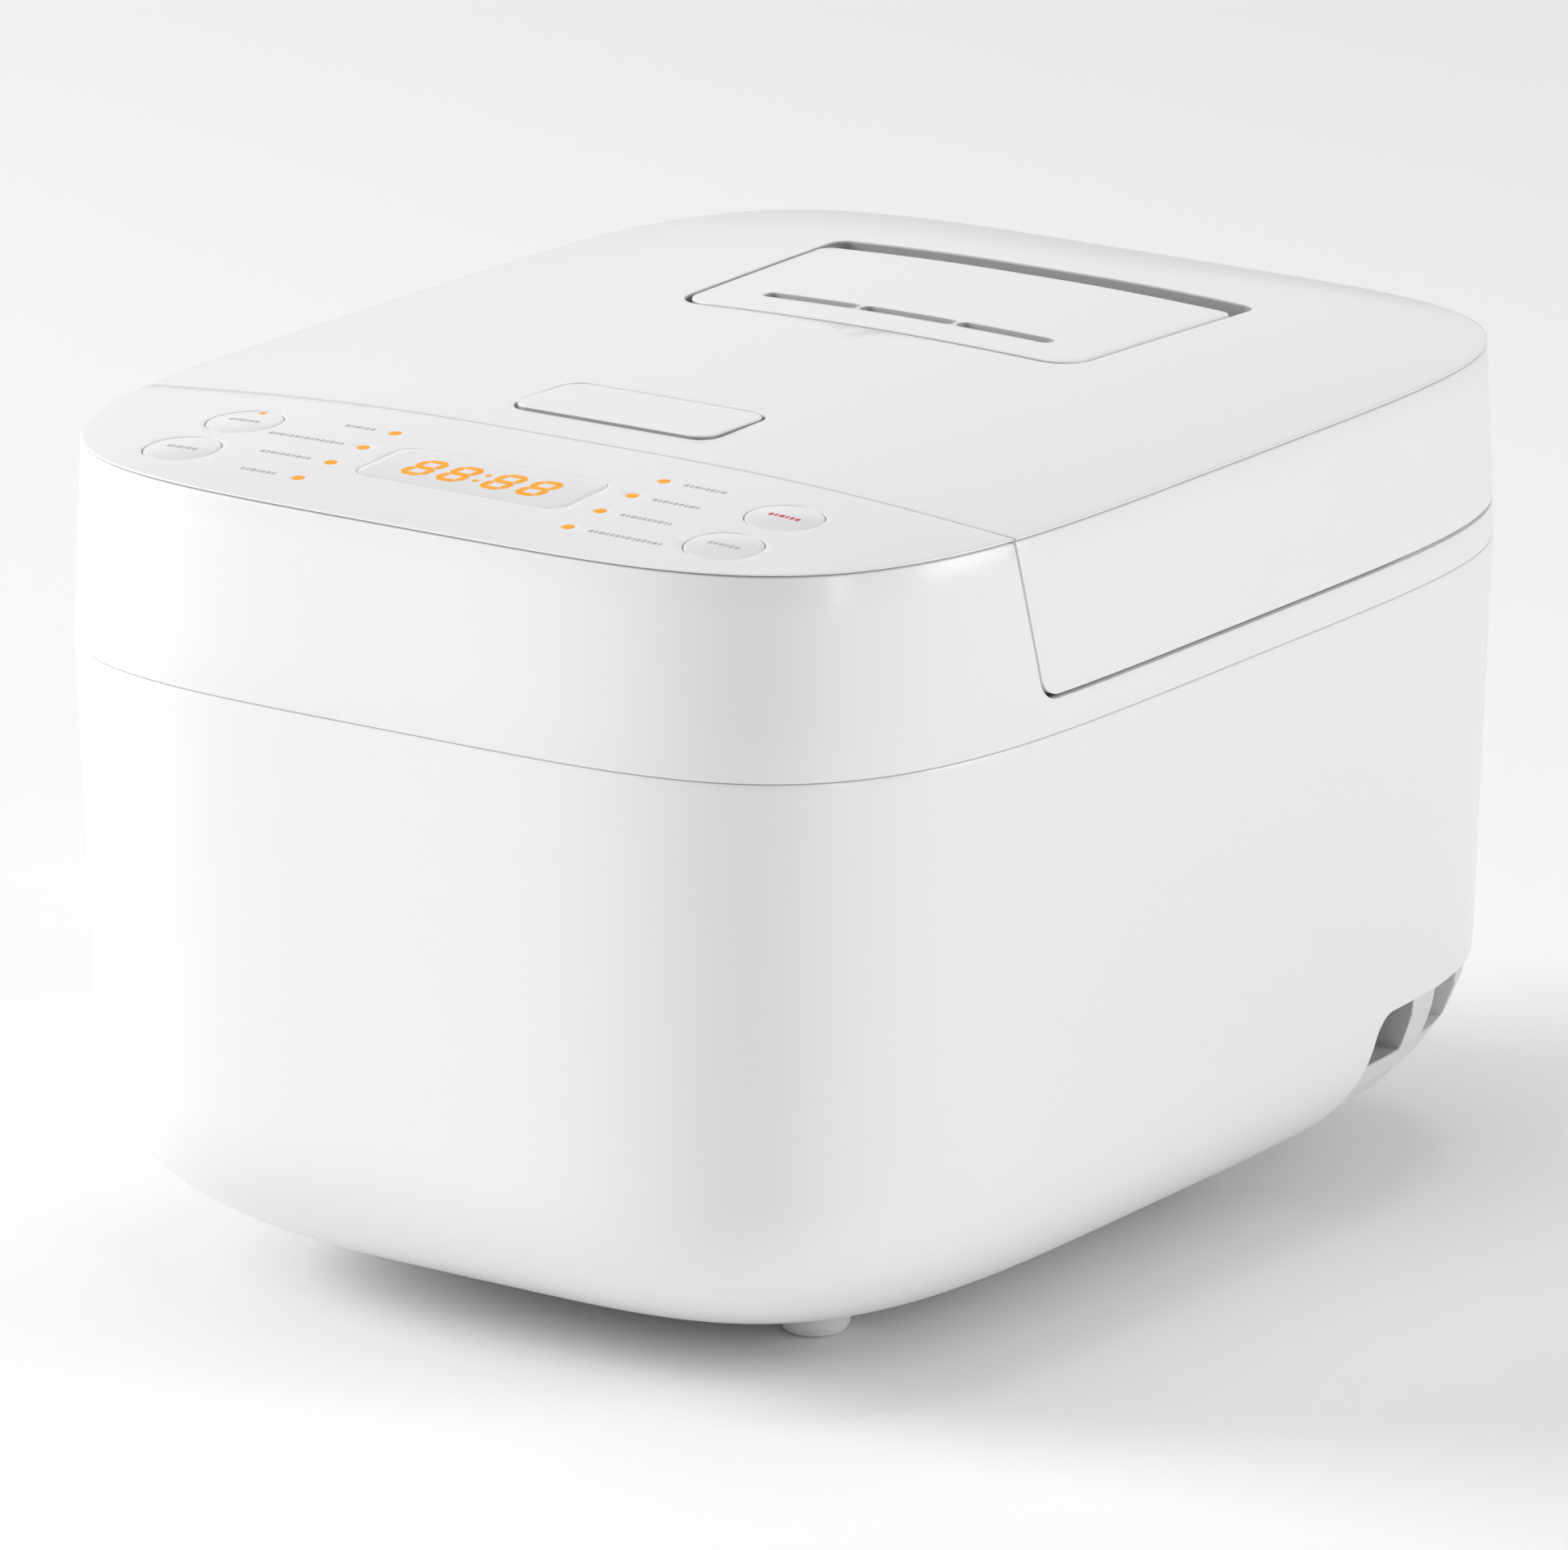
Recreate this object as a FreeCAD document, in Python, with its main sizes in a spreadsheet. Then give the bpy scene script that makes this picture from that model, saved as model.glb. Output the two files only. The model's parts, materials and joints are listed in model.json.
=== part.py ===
"""Countertop rice cooker, in millimetres: +Z up, front facing -Y, origin under the middle on the ground.

The casing is a superellipse in plan. A hinged lid carries a lift-off steam vent and a release button; the
front of the top holds a display and four sprung keys; the pot sits in a steel housing over a heating plate.
"""
import FreeCAD, Part
import math
import os

import Sketcher

Vector = FreeCAD.Vector
os.makedirs("parts", exist_ok=True)
doc = FreeCAD.newDocument("rice_cooker")
sheet = doc.addObject("Spreadsheet::Sheet", "params")

DIMENSIONS = {
    # casing
    "half_width": 120.5, "half_depth": 151.25, "power_front": 4.30, "power_rear": 4.77, "wall": 2.5,
    "foot_height": 8.0, "foot_radius": 8.25, "foot_x": 57.0, "foot_y": 72.0,
    "curve_height": 43.8, "curve_inset": 55.7, "curve_power": 2.065, "power_drift": 0.22,
    "draft_side": 0.015, "draft_end": 0.033, "base_top": 11.3,
    "seam_height": 146.2, "ring_top": 154.0, "lid_bottom": 155.0, "rim_height": 191.8,
    "rim_half_width": 118.9, "rim_half_depth": 149.25, "crown_height": 6.2,
    "crown_side": 2.0, "crown_front": 2.5, "crown_rear": 7.0, "cap_gap": 0.4, "seam_gap": 0.35,
    # line between the panel and the lid
    "panel_seam": -83.3, "seam_slant": 0.235, "seam_corner": 6.0, "lid_gap": 0.7,
    # pot and heating
    "pot_y": 26.0, "pot_radius": 88.5, "pot_wall": 1.5, "pot_floor": 40.2, "flange_radius": 94.0,
    "flange_top": 152.2, "flange_thick": 1.8, "liner_radius": 93.3, "liner_wall": 0.8, "liner_floor": 28.0,
    "plate_radius": 80.0, "plate_floor": 31.0, "plate_top": 40.0, "sensor_radius": 13.0, "sensor_travel": 3.0,
    "deck_floor": 147.0, "deck_top": 153.4,
    # lid
    "recess_radius": 95.0, "roof_height": 170.0, "hinge_y": 139.0, "hinge_z": 168.0, "hinge_radius": 14.2,
    "pin_radius": 2.0, "running_fit": 0.05, "block_half": 48.0, "knuckle_end": 60.0,
    "skirt_sweep": 18.3,
    "lip_gap": 0.3, "lip_thick": 1.5, "lip_deep": 3.0, "cap_thick": 2.2,
    # steam vent
    "vent_half": 54.2, "vent_spread": 0.05, "vent_front": 31.2, "vent_rear": 103.5, "vent_cap_front": 33.2,
    "vent_cap_rear": 95.5, "vent_floor": 177.0, "vent_gap": 0.9, "vent_corner": 8.0, "vent_rear_corner": 4.0,
    "pocket_wall": 1.8, "slot_length": 25.0, "slot_pitch": 26.5, "slot_width": 3.6, "slot_y": 47.0,
    "steam_y": 62.0, "steam_radius": 7.0, "spout_radius": 5.4,
    # release button
    "release_half": 26.5, "release_y": -57.5, "release_depth": 24.2, "release_corner": 4.6,
    "release_gap": 0.9, "release_travel": 3.0, "stem_radius": 3.5,
    # control panel
    "key_radius": 8.7, "key_gap": 0.3, "key_raise": 0.3, "key_x": 72.3, "key_y_rear": -105.5,
    "key_y_front": -128.0, "lamp_x": 36.0, "lamp_y": -98.8, "lamp_pitch": 11.73, "lamp_radius": 1.5,
    "window_x": 56.0, "window_y": 21.0, "window_centre": -116.0, "window_corner": 4.5, "board_z": 178.0,
    "board_thick": 1.6,
    # inlet, screws
    "notch_front": 63.0, "notch_top": 48.4, "notch_side": 52.0, "notch_corner": 6.0,
    "inlet_y": 72.1, "inlet_z": 41.6, "inlet_width": 17.8, "inlet_tall": 13.2, "inlet_back": 89.5,
    "inlet_wall": 2.0, "pin_start": 86.0, "pin_length": 16.0, "pin_thick": 2.0, "pin_tall": 4.0,
    "corner_x": 96.0, "corner_y": 92.0, "corner_end": 107.0, "corner_low": 35.5, "corner_high": 47.6,
    "boss_radius": 5.0, "boss_top": 24.0, "screw_x": 71.0, "screw_y": 40.0, "screw_radius": 1.5,
    "screw_head": 3.0,
}
for row, (alias, value) in enumerate(DIMENSIONS.items(), start=1):
    sheet.set(f"A{row}", alias)
    sheet.set(f"B{row}", str(value))
    sheet.setAlias(f"B{row}", alias)
doc.recompute()
nodes = {}


def size(alias):
    """A dimension as the sheet holds it."""
    return float(sheet.get(alias))


def bound(text):
    """An expression in sheet aliases, with each alias pointing at the sheet."""
    words = sorted(DIMENSIONS, key=len, reverse=True)
    out = ""
    place = 0
    while place < len(text):
        word = next((w for w in words if text.startswith(w, place)), None)
        out += f"params.{word}" if word else text[place]
        place += len(word) if word else 1
    return out


# ---------------------------------------------------------------- document helpers


def keep(label, item):
    """Register a finished sub-part under its own name."""
    item.Label = label
    nodes[label] = item
    return item


def from_shape(label, shape):
    """A sub-part whose lofted or cut shape is made by the functions below."""
    item = doc.addObject("Part::Feature", label)
    item.Shape = shape
    item.Placement = shape.Placement
    return keep(label, item)


def primitive(kind, name, sizes, base=("0", "0", "0")):
    """A Part primitive whose sizes and position are bound to the sheet."""
    item = doc.addObject(kind, name)
    for key, text in sizes.items():
        item.setExpression(key, bound(text))
    for axis, text in zip("xyz", base):
        item.setExpression(f".Placement.Base.{axis}", bound(text))
    return item


def cylinder(name, radius, height, base):
    return primitive("Part::Cylinder", name, {"Radius": radius, "Height": height}, base)


def box(name, length, width, height, base):
    return primitive("Part::Box", name, {"Length": length, "Width": width, "Height": height}, base)


def cut(name, base, *tools):
    """base with every tool taken away."""
    for index, tool in enumerate(tools):
        item = doc.addObject("Part::Cut", f"{name}_cut_{index}")
        item.Base = base
        item.Tool = tool
        base = item
    return base


def fuse(name, *items):
    item = doc.addObject("Part::MultiFuse", f"{name}_fuse")
    item.Shapes = list(items)
    return item


def group(label, items):
    """Several identical solids in one sub-part."""
    item = doc.addObject("Part::Compound", label)
    item.Links = list(items)
    return keep(label, item)


def origin_plane(body, role):
    return next(item for item in body.Origin.OriginFeatures if item.Role == role)


def turned(label, profile, centre=("0", "0")):
    """A turned body: a closed sketch of (radius, height) expressions, revolved about the upright axis."""
    body = doc.addObject("PartDesign::Body", label)
    sketch = body.newObject("Sketcher::SketchObject", f"{label}_profile")
    sketch.AttachmentSupport = [(origin_plane(body, "XZ_Plane"), "")]
    sketch.MapMode = "FlatFace"
    values = [[evaluate(text) for text in point] for point in profile]
    count = len(profile)
    for index in range(count):
        start = Vector(values[index][0], values[index][1], 0)
        end = Vector(values[(index + 1) % count][0], values[(index + 1) % count][1], 0)
        sketch.addGeometry(Part.LineSegment(start, end), False)
    for index in range(count):
        sketch.addConstraint(Sketcher.Constraint("Coincident", index, 2, (index + 1) % count, 1))
    for index, (radius, height) in enumerate(profile):
        if abs(values[index][0]) < 1e-9:
            sketch.addConstraint(Sketcher.Constraint("PointOnObject", index, 1, -2))
        else:
            place = sketch.addConstraint(
                Sketcher.Constraint("DistanceX", -1, 1, index, 1, values[index][0]))
            sketch.setExpression(f"Constraints[{place}]", bound(radius))
        place = sketch.addConstraint(Sketcher.Constraint("DistanceY", -1, 1, index, 1, values[index][1]))
        sketch.setExpression(f"Constraints[{place}]", bound(height))
    turn = body.newObject("PartDesign::Revolution", f"{label}_turn")
    turn.Profile = sketch
    turn.ReferenceAxis = (sketch, ["V_Axis"])
    turn.Angle = 360
    body.Tip = turn
    body.setExpression(".Placement.Base.x", bound(centre[0]))
    body.setExpression(".Placement.Base.y", bound(centre[1]))
    return body


def revolved(label, profile, centre=("0", "0")):
    """A turned body that is a sub-part by itself."""
    return keep(label, turned(label, profile, centre))


def evaluate(text):
    """The number an expression of aliases stands for: sums and differences of aliases and numbers."""
    total = 0.0
    sign = 1.0
    for token in text.replace("-", " - ").replace("+", " + ").split():
        if token == "+":
            sign = 1.0
        elif token == "-":
            sign = -1.0
        else:
            total += sign * (size(token) if token in DIMENSIONS else float(token))
    return total


# ---------------------------------------------------------------- shape helpers

OUTLINE_POINTS = 64
CROWN_LEVELS = (0.0, 0.12, 0.28, 0.45, 0.6, 0.74, 0.85, 0.93, 0.975, 0.995)
CURVE_STEPS = 9
FAR = 200.0


def outline(half_x, front, rear, drift, height):
    """The casing's plan: a superellipse with its own depth and power on the front and rear halves."""
    points = []
    for index in range(OUTLINE_POINTS):
        angle = math.pi / 2 + 2 * math.pi * index / OUTLINE_POINTS
        across, along = math.cos(angle), math.sin(angle)
        depth = front if along < 0 else rear
        power = size("power_front" if along < 0 else "power_rear") - drift
        reach = (abs(across / half_x) ** power + abs(along / depth) ** power) ** (-1 / power)
        points.append(Vector(reach * across, reach * along, height))
    curve = Part.BSplineCurve()
    curve.interpolate(Points=points, PeriodicFlag=True)
    return Part.Wire([curve.toShape()])


def lower_hull(inset=0.0, lift=0.0):
    """The lower casing's outer form, or a smaller copy inside it."""
    top = size("seam_height")
    bottom = size("foot_height") + lift
    bend = bottom + size("curve_height")
    sections = [(top, 0.0), (bend, 0.0)]
    for step in range(1, CURVE_STEPS + 1):
        angle = math.pi / 2 * step / CURVE_STEPS
        power = 2 / size("curve_power")
        drop = size("curve_height") * math.sin(angle) ** power
        pull = size("curve_inset") * (1 - max(math.cos(angle), 0.0) ** power)
        sections.append((bend - drop, pull))
    wires = []
    for height, pull in sections:
        below = top - height
        half_x = size("half_width") - size("draft_side") * below - pull - inset
        half_y = size("half_depth") - size("draft_end") * below - pull - inset
        drift = size("power_drift") * below / (top - bottom)
        wires.append(outline(half_x, half_y, half_y, drift, height))
    return Part.makeLoft(wires, True, True)


def upper_hull(inset=0.0, lift=0.0):
    """The upper casing's outer form up to the crowned top, or a smaller copy inside it."""
    wires = [outline(size("half_width") - inset, size("half_depth") - inset, size("half_depth") - inset, 0,
                     size("seam_height") + size("seam_gap"))]
    for level in CROWN_LEVELS:
        left = 1 - level
        half_x = (size("rim_half_width") - inset) * left ** (1 / size("crown_side"))
        front = (size("rim_half_depth") - inset) * left ** (1 / size("crown_front"))
        rear = (size("rim_half_depth") - inset) * left ** (1 / size("crown_rear"))
        height = size("rim_height") + lift + size("crown_height") * level
        wires.append(outline(half_x, front, rear, 0, height))
    return Part.makeLoft(wires, True, True)


def block(low, high):
    """A plain block between two corners."""
    return Part.makeBox(high[0] - low[0], high[1] - low[1], high[2] - low[2], Vector(*low))


def slab(low, high):
    """Everything the object has between two heights."""
    return block((-FAR, -FAR, low), (FAR, FAR, high))


def rod(radius, low, high, x=0.0, y=0.0):
    return Part.makeCylinder(radius, high - low, Vector(x, y, low))


def cross_rod(radius, x_low, x_high, y, z):
    """A round bar along X."""
    return Part.makeCylinder(radius, x_high - x_low, Vector(x_low, y, z), Vector(1, 0, 0))


def rounded_face(points, radius):
    """A flat polygon with every corner that has a radius rounded to it."""
    count = len(points)
    edges = []
    last = None
    first = None
    for index, corner in enumerate(points):
        reach = radius[index] if isinstance(radius, (list, tuple)) else radius
        before = (points[index - 1] - corner).normalize()
        after = (points[(index + 1) % count] - corner).normalize()
        if reach > 0:
            half = before.getAngle(after) / 2
            back = reach / math.tan(half)
            start = corner + before * back
            end = corner + after * back
            middle_way = (before + after).normalize()
            middle = corner + middle_way * (reach / math.sin(half) - reach)
            arc = Part.Arc(start, middle, end).toShape()
        else:
            start = end = corner
            arc = None
        if last is not None:
            edges.append(Part.makeLine(last, start))
        else:
            first = start
        if arc:
            edges.append(arc)
        last = end
    edges.append(Part.makeLine(last, first))
    return Part.Face(Part.Wire(edges))


def side_prism(points, radius=0.0, x_low=-FAR, x_high=FAR):
    """A prism along X over a (y, z) outline."""
    face = rounded_face([Vector(x_low, y, z) for y, z in points], radius)
    return face.extrude(Vector(x_high - x_low, 0, 0))


def pad(x_low, x_high, y_low, y_high, z_low, z_high, radius=0.0):
    """An upright block with rounded corners in plan."""
    corners = [(x_low, y_low), (x_high, y_low), (x_high, y_high), (x_low, y_high)]
    face = rounded_face([Vector(x, y, z_low) for x, y in corners], radius)
    return face.extrude(Vector(0, 0, z_high - z_low))


def seam_at(height, gap=0.0):
    """Where the slanted line between panel housing and lid stands at a height."""
    return size("panel_seam") + size("seam_slant") * (size("rim_height") - height) + gap


def lid_space(gap, floor):
    """Everything behind the slanted seam and above a floor."""
    top = 210.0
    points = [(seam_at(top, gap), top), (seam_at(floor, gap), floor), (FAR, floor), (FAR, top)]
    return side_prism(points, (0.0, size("seam_corner"), 0.0, 0.0))


def coil(radius, wire, turns, low, high, x, y):
    """A spring standing upright: an eight-sided wire lofted along its helix."""
    sides = 8
    steps = 14
    height = high - low - 2 * wire
    rise = height / turns / (2 * math.pi)
    count = turns * steps
    rings = []
    for index in range(count + 1):
        angle = 2 * math.pi * index / steps
        out = Vector(math.cos(angle), math.sin(angle), 0)
        along = Vector(-radius * math.sin(angle), radius * math.cos(angle), rise).normalize()
        up = out.cross(along)
        centre = out * radius + Vector(x, y, low + wire + height * index / count)
        turn = [2 * math.pi * side / sides for side in range(sides)]
        points = [centre + out * (wire * math.cos(a)) + up * (wire * math.sin(a)) for a in turn]
        rings.append(Part.makePolygon(points + points[:1]))
    return Part.makeLoft(rings, True, True)


HULL = lower_hull()
INNER_HULL = lower_hull(size("wall"), size("wall"))
UPPER = upper_hull()
UPPER_INSIDE = upper_hull(size("wall"))
TOP_INSIDE = upper_hull(size("cap_thick"), -size("cap_thick"))
CAP_LOW = size("rim_height") - 0.4
WALL_HIGH = CAP_LOW - size("cap_gap")


# ---------------------------------------------------------------- lower casing


def inlet_space(grow=0.0):
    """The cut-out in the lower rear right corner of the shell, open below and behind."""
    front, top = size("notch_front") - grow, size("notch_top") + grow
    points = [(front, 0.0), (front, top), (FAR, top), (FAR, 0.0)]
    return side_prism(points, (0.0, size("notch_corner"), 0.0, 0.0), size("notch_side") - grow, FAR)


def screw_places():
    return [(x * size("screw_x"), y * size("screw_y")) for x in (-1, 1) for y in (-1, 1)]


def outer_shell():
    shell = HULL.cut(INNER_HULL).common(slab(size("base_top") + 0.3, size("seam_height")))
    for x, y in screw_places():
        shell = shell.fuse(rod(size("boss_radius"), size("base_top") + 0.3, size("boss_top"), x, y))
    for x, y in screw_places():
        shell = shell.cut(rod(size("screw_radius"), 0, size("boss_top") - 4, x, y))
    return from_shape("outer_shell", shell.cut(inlet_space()))


def base_plate():
    plate = HULL.common(slab(0, size("base_top")))
    for x, y in screw_places():
        plate = plate.cut(rod(size("screw_radius") + 0.2, 0, 30, x, y))
        plate = plate.cut(rod(size("screw_head") + 0.2, 0, 10.3, x, y))
    for x in (-1, 1):
        for y in (-1, 1):
            plate = plate.cut(rod(size("foot_radius"), 0, 9.6, x * size("foot_x"), y * size("foot_y")))
    count, pitch, half_wide, half_long = 9, 9.0, 1.6, 12.0
    for index in range(count):
        x = (index - (count - 1) / 2) * pitch
        for y in (-20.0, 66.0):
            plate = plate.cut(pad(x - half_wide, x + half_wide, y - half_long, y + half_long, 0, 30, 1.55))
    return from_shape("base_plate", plate)


def feet():
    for name_x, x in (("left", "-foot_x"), ("right", "foot_x")):
        for name_y, y in (("front", "-foot_y"), ("rear", "foot_y")):
            revolved(f"foot_{name_y}_{name_x}",
                     [("0", "0"), ("foot_radius - 2.6", "0"), ("foot_radius - 1.2", "0.7"),
                      ("foot_radius - 0.4", "2.2"), ("foot_radius", "foot_height - 2.0"),
                      ("foot_radius", "foot_height + 1.6"), ("0", "foot_height + 1.6")], (x, y))


def base_screws():
    items = []
    for index, (x, y) in enumerate(((-1, -1), (-1, 1), (1, -1), (1, 1))):
        place_x = f"{x} * screw_x"
        place_y = f"{y} * screw_y"
        head = cylinder(f"base_screw_head_{index}", "screw_head", "1.6", (place_x, place_y, "8.7"))
        shank = cylinder(f"base_screw_shank_{index}", "screw_radius", "9", (place_x, place_y, "10.3"))
        items.append(fuse(f"base_screw_{index}", head, shank))
    group("base_screws", items)


def inlet_box(grow, x_low):
    """The socket's box, at its inside when grow is 0."""
    y, z = size("inlet_y"), size("inlet_z")
    half_y, half_z = size("inlet_width") / 2 + grow, size("inlet_tall") / 2 + grow
    return block((x_low, y - half_y, z - half_z), (FAR, y + half_y, z + half_z))


def pin_places():
    """Where the three flat contacts stand in the socket, from its middle."""
    return ((-5.0, -2.5), (5.0, -2.5), (0.0, 2.5))


def inlet_housing():
    """The moulding that fills the cut-out: a skin in line with the shell, the socket and a finger recess."""
    wall = size("inlet_wall")
    skin = lower_hull(0.8).cut(lower_hull(3.2, size("wall"))).common(inlet_space(-0.5))
    skin = skin.common(slab(size("base_top") + 0.3, size("notch_top")))
    inside = lower_hull(size("wall") + 0.4, size("wall"))
    socket = inlet_box(wall, size("inlet_back") - wall - 0.5).common(inside)
    low, high = size("corner_low"), size("corner_high")
    x, y, end = size("corner_x"), size("corner_y"), size("corner_end")
    corner_out = block((x - wall, y - wall, low - wall), (FAR, end + wall, high + wall)).common(inside)
    corner_in = block((x, y, low), (FAR, end, high))
    body = skin.fuse([socket, corner_out]).cut(inlet_box(0.0, size("inlet_back"))).cut(corner_in)
    half_thick, half_tall = size("pin_thick") / 2, size("pin_tall") / 2
    for across, up in pin_places():
        y, z = size("inlet_y") + across, size("inlet_z") + up
        body = body.cut(block((80, y - half_thick, z - half_tall), (95, y + half_thick, z + half_tall)))
    return from_shape("inlet_housing", body)


def inlet_pins():
    pins = []
    for index, (y, z) in enumerate(pin_places()):
        base = ("pin_start", f"inlet_y + {y} - pin_thick / 2", f"inlet_z + {z} - pin_tall / 2")
        pins.append(box(f"inlet_pin_{index}", "pin_length", "pin_thick", "pin_tall", base))
    group("inlet_pins", pins)


# ---------------------------------------------------------------- heating and pot


def heating():
    revolved("inner_pot",
             [("0", "pot_floor"), ("pot_radius - 14", "pot_floor"), ("pot_radius - 8", "pot_floor + 1.6"),
              ("pot_radius - 3", "pot_floor + 5.5"), ("pot_radius - 0.5", "pot_floor + 11"),
              ("pot_radius", "pot_floor + 16"), ("pot_radius", "flange_top - flange_thick"),
              ("flange_radius", "flange_top - flange_thick"), ("flange_radius", "flange_top"),
              ("pot_radius - pot_wall", "flange_top"), ("pot_radius - pot_wall", "pot_floor + 16.5"),
              ("pot_radius - pot_wall - 0.6", "pot_floor + 12"),
              ("pot_radius - pot_wall - 3", "pot_floor + 6.6"),
              ("pot_radius - pot_wall - 7.6", "pot_floor + 3.2"),
              ("pot_radius - pot_wall - 13", "pot_floor + 2"), ("0", "pot_floor + 2")],
             ("0", "pot_y"))
    revolved("pot_housing",
             [("30", "liner_floor"), ("liner_radius", "liner_floor"), ("liner_radius", "deck_floor - 0.8"),
              ("liner_radius + 6", "deck_floor - 0.8"), ("liner_radius + 6", "deck_floor"),
              ("liner_radius - liner_wall", "deck_floor"),
              ("liner_radius - liner_wall", "liner_floor + liner_wall"),
              ("30", "liner_floor + liner_wall")],
             ("0", "pot_y"))
    revolved("heating_plate",
             [("sensor_radius + 2", "plate_floor"), ("plate_radius - 6", "plate_floor"),
              ("plate_radius", "plate_floor + 3"), ("plate_radius", "plate_top - 1"),
              ("plate_radius - 2", "plate_top"), ("sensor_radius + 2", "plate_top")],
             ("0", "pot_y"))
    spacers = []
    for index in range(3):
        angle = math.radians(90 + 120 * index)
        x, y = 50 * math.cos(angle), 50 * math.sin(angle)
        spacers.append(cylinder(f"spacer_{index}", "5", "plate_floor - liner_floor - liner_wall",
                                (f"{x:.3f}", f"pot_y + {y:.3f}", "liner_floor + liner_wall")))
    group("plate_spacers", spacers)
    revolved("sensor_cap",
             [("0", "plate_top - 1.6"), ("sensor_radius - 1", "plate_top - 1.6"),
              ("sensor_radius - 1", "plate_top - 9"), ("sensor_radius", "plate_top - 9"),
              ("sensor_radius", "plate_top - 1"), ("sensor_radius - 1", "plate_top - 0.1"),
              ("0", "plate_top - 0.1")],
             ("0", "pot_y"))
    from_shape("sensor_spring", coil(8.0, 0.6, 5, 21.0, size("plate_top") - 1.6, 0, size("pot_y")))
    revolved("sensor_seat",
             [("0", "18.4"), ("24", "18.4"), ("24", "20"), ("10", "20"), ("10", "21"), ("0", "21")],
             ("0", "pot_y"))


def housing_supports():
    """Posts that carry the pot housing and the sensor's seat on the base."""
    posts = []
    across, along = 40.86, 43.84
    for index, (side, end) in enumerate(((1, 1), (-1, 1), (-1, -1), (1, -1))):
        place = (f"{side * across}", f"pot_y + {end * along}", "base_top")
        posts.append(cylinder(f"housing_post_{index}", "4.5", "liner_floor - base_top", place))
    group("housing_posts", posts)
    seats = []
    for index, x in enumerate((-19, 19)):
        seats.append(cylinder(f"seat_post_{index}", "3.5", "18.4 - base_top", (str(x), "pot_y", "base_top")))
    group("sensor_posts", seats)


def power_electronics():
    """The mains board on its carrier, in the space between the front wall and the pot housing."""
    back = box("carrier_back", "130", "2", "85", ("-65", "-99", "38"))
    shelf = box("carrier_shelf", "130", "16", "2", ("-65", "-103", "36"))
    leg_left = box("carrier_leg_left", "3", "7", "36 - base_top", ("-45", "-94", "base_top"))
    leg_right = box("carrier_leg_right", "3", "7", "36 - base_top", ("42", "-94", "base_top"))
    keep("board_carrier", fuse("board_carrier", back, shelf, leg_left, leg_right))
    keep("power_board", box("power_board", "124", "1.6", "78", ("-62", "-100.6", "42")))
    parts = [("relay", "20", "15", "26", ("-52", "-115.6", "80")),
             ("transformer", "32", "22", "28", ("-16", "-122.6", "62")),
             ("fuse_block", "24", "9", "8", ("28", "-109.6", "104"))]
    items = [box(name, length, width, height, base) for name, length, width, height, base in parts]
    for index, x in enumerate((30, 44)):
        can = cylinder(f"capacitor_{index}", "5.5", "18", (str(x), "-100.6", "66"))
        can.Placement.Rotation = FreeCAD.Rotation(Vector(1, 0, 0), 90)
        items.append(can)
    group("power_components", items)


# ---------------------------------------------------------------- upper casing


def latch_slot(grow):
    """The way through which the latch tooth points at the panel housing."""
    return block((-9.0 - grow, -95.0, 172.5 - grow), (9.0 + grow, -60.0, 176.5 + grow))


def upper_housing():
    walls = UPPER.cut(UPPER_INSIDE).common(slab(0, WALL_HIGH))
    walls = walls.cut(lid_space(-size("lid_gap"), size("ring_top")))
    walls = walls.cut(cross_rod(size("skirt_sweep"), -FAR, FAR, size("hinge_y"), size("hinge_z")))
    high = WALL_HIGH - 1.0
    low = size("deck_top") + 0.2
    near = -size("lid_gap")
    far = near - size("cap_thick")
    points = [(seam_at(high, far), high), (seam_at(high, near), high), (seam_at(low, near), low),
              (seam_at(low, far), low)]
    bulkhead = side_prism(points).common(upper_hull(1.0)).cut(latch_slot(1.0))
    shelf = block((-FAR, seam_at(low) - 18, size("deck_floor")), (FAR, seam_at(low), low))
    mouth = rod(100.0, 100, 200, 0, size("pot_y"))
    shelf = shelf.common(upper_hull(1.0)).cut(mouth)
    return from_shape("upper_housing", walls.fuse([bulkhead, shelf]))


def deck():
    """The frame round the pot opening, with its seat for the pot's flange and the lid's hinge block."""
    outer = upper_hull(size("wall") + 0.3)
    front = seam_at(size("deck_top")) + 0.3
    plate = outer.common(block((-FAR, front, size("deck_floor")), (FAR, FAR, size("deck_top"))))
    under = upper_hull(size("wall") + 2.5)
    hollow = under.common(block((-FAR, front + 2, 100), (FAR, 110, size("deck_top") - 2.4)))
    hollow = hollow.cut(rod(102.0, 100, 200, 0, size("pot_y")))
    y = size("pot_y")
    seat = size("flange_top") - size("flange_thick")
    plate = plate.cut(hollow).cut(rod(size("pot_radius") + 1.0, 100, 200, 0, y))
    plate = plate.cut(rod(size("flange_radius") + 0.8, seat, 200, 0, y))
    sweep = cross_rod(size("skirt_sweep") + 0.5, -112, 112, size("hinge_y"), size("hinge_z"))
    reach = size("hinge_radius")
    stand = block((-size("block_half"), size("hinge_y") - reach, size("deck_top") - 1),
                  (size("block_half"), size("hinge_y") + 9.0, size("hinge_z")))
    barrel = cross_rod(reach, -size("block_half"), size("block_half"), size("hinge_y"), size("hinge_z"))
    ring_wall = UPPER.cut(upper_hull(size("wall") + 0.3)).common(slab(0, size("ring_top") + 0.3))
    hinge_block = stand.fuse(barrel).common(UPPER).cut(ring_wall)
    spring_room = block((-24, size("hinge_y") - 9, size("deck_top") + 2.0),
                        (24, size("hinge_y") + 9, size("hinge_z") + 9))
    plate = plate.cut(sweep).fuse(hinge_block).cut(spring_room)
    bore = cross_rod(size("pin_radius"), -FAR, FAR, size("hinge_y"), size("hinge_z"))
    return from_shape("pot_deck", plate.cut(bore))


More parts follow.
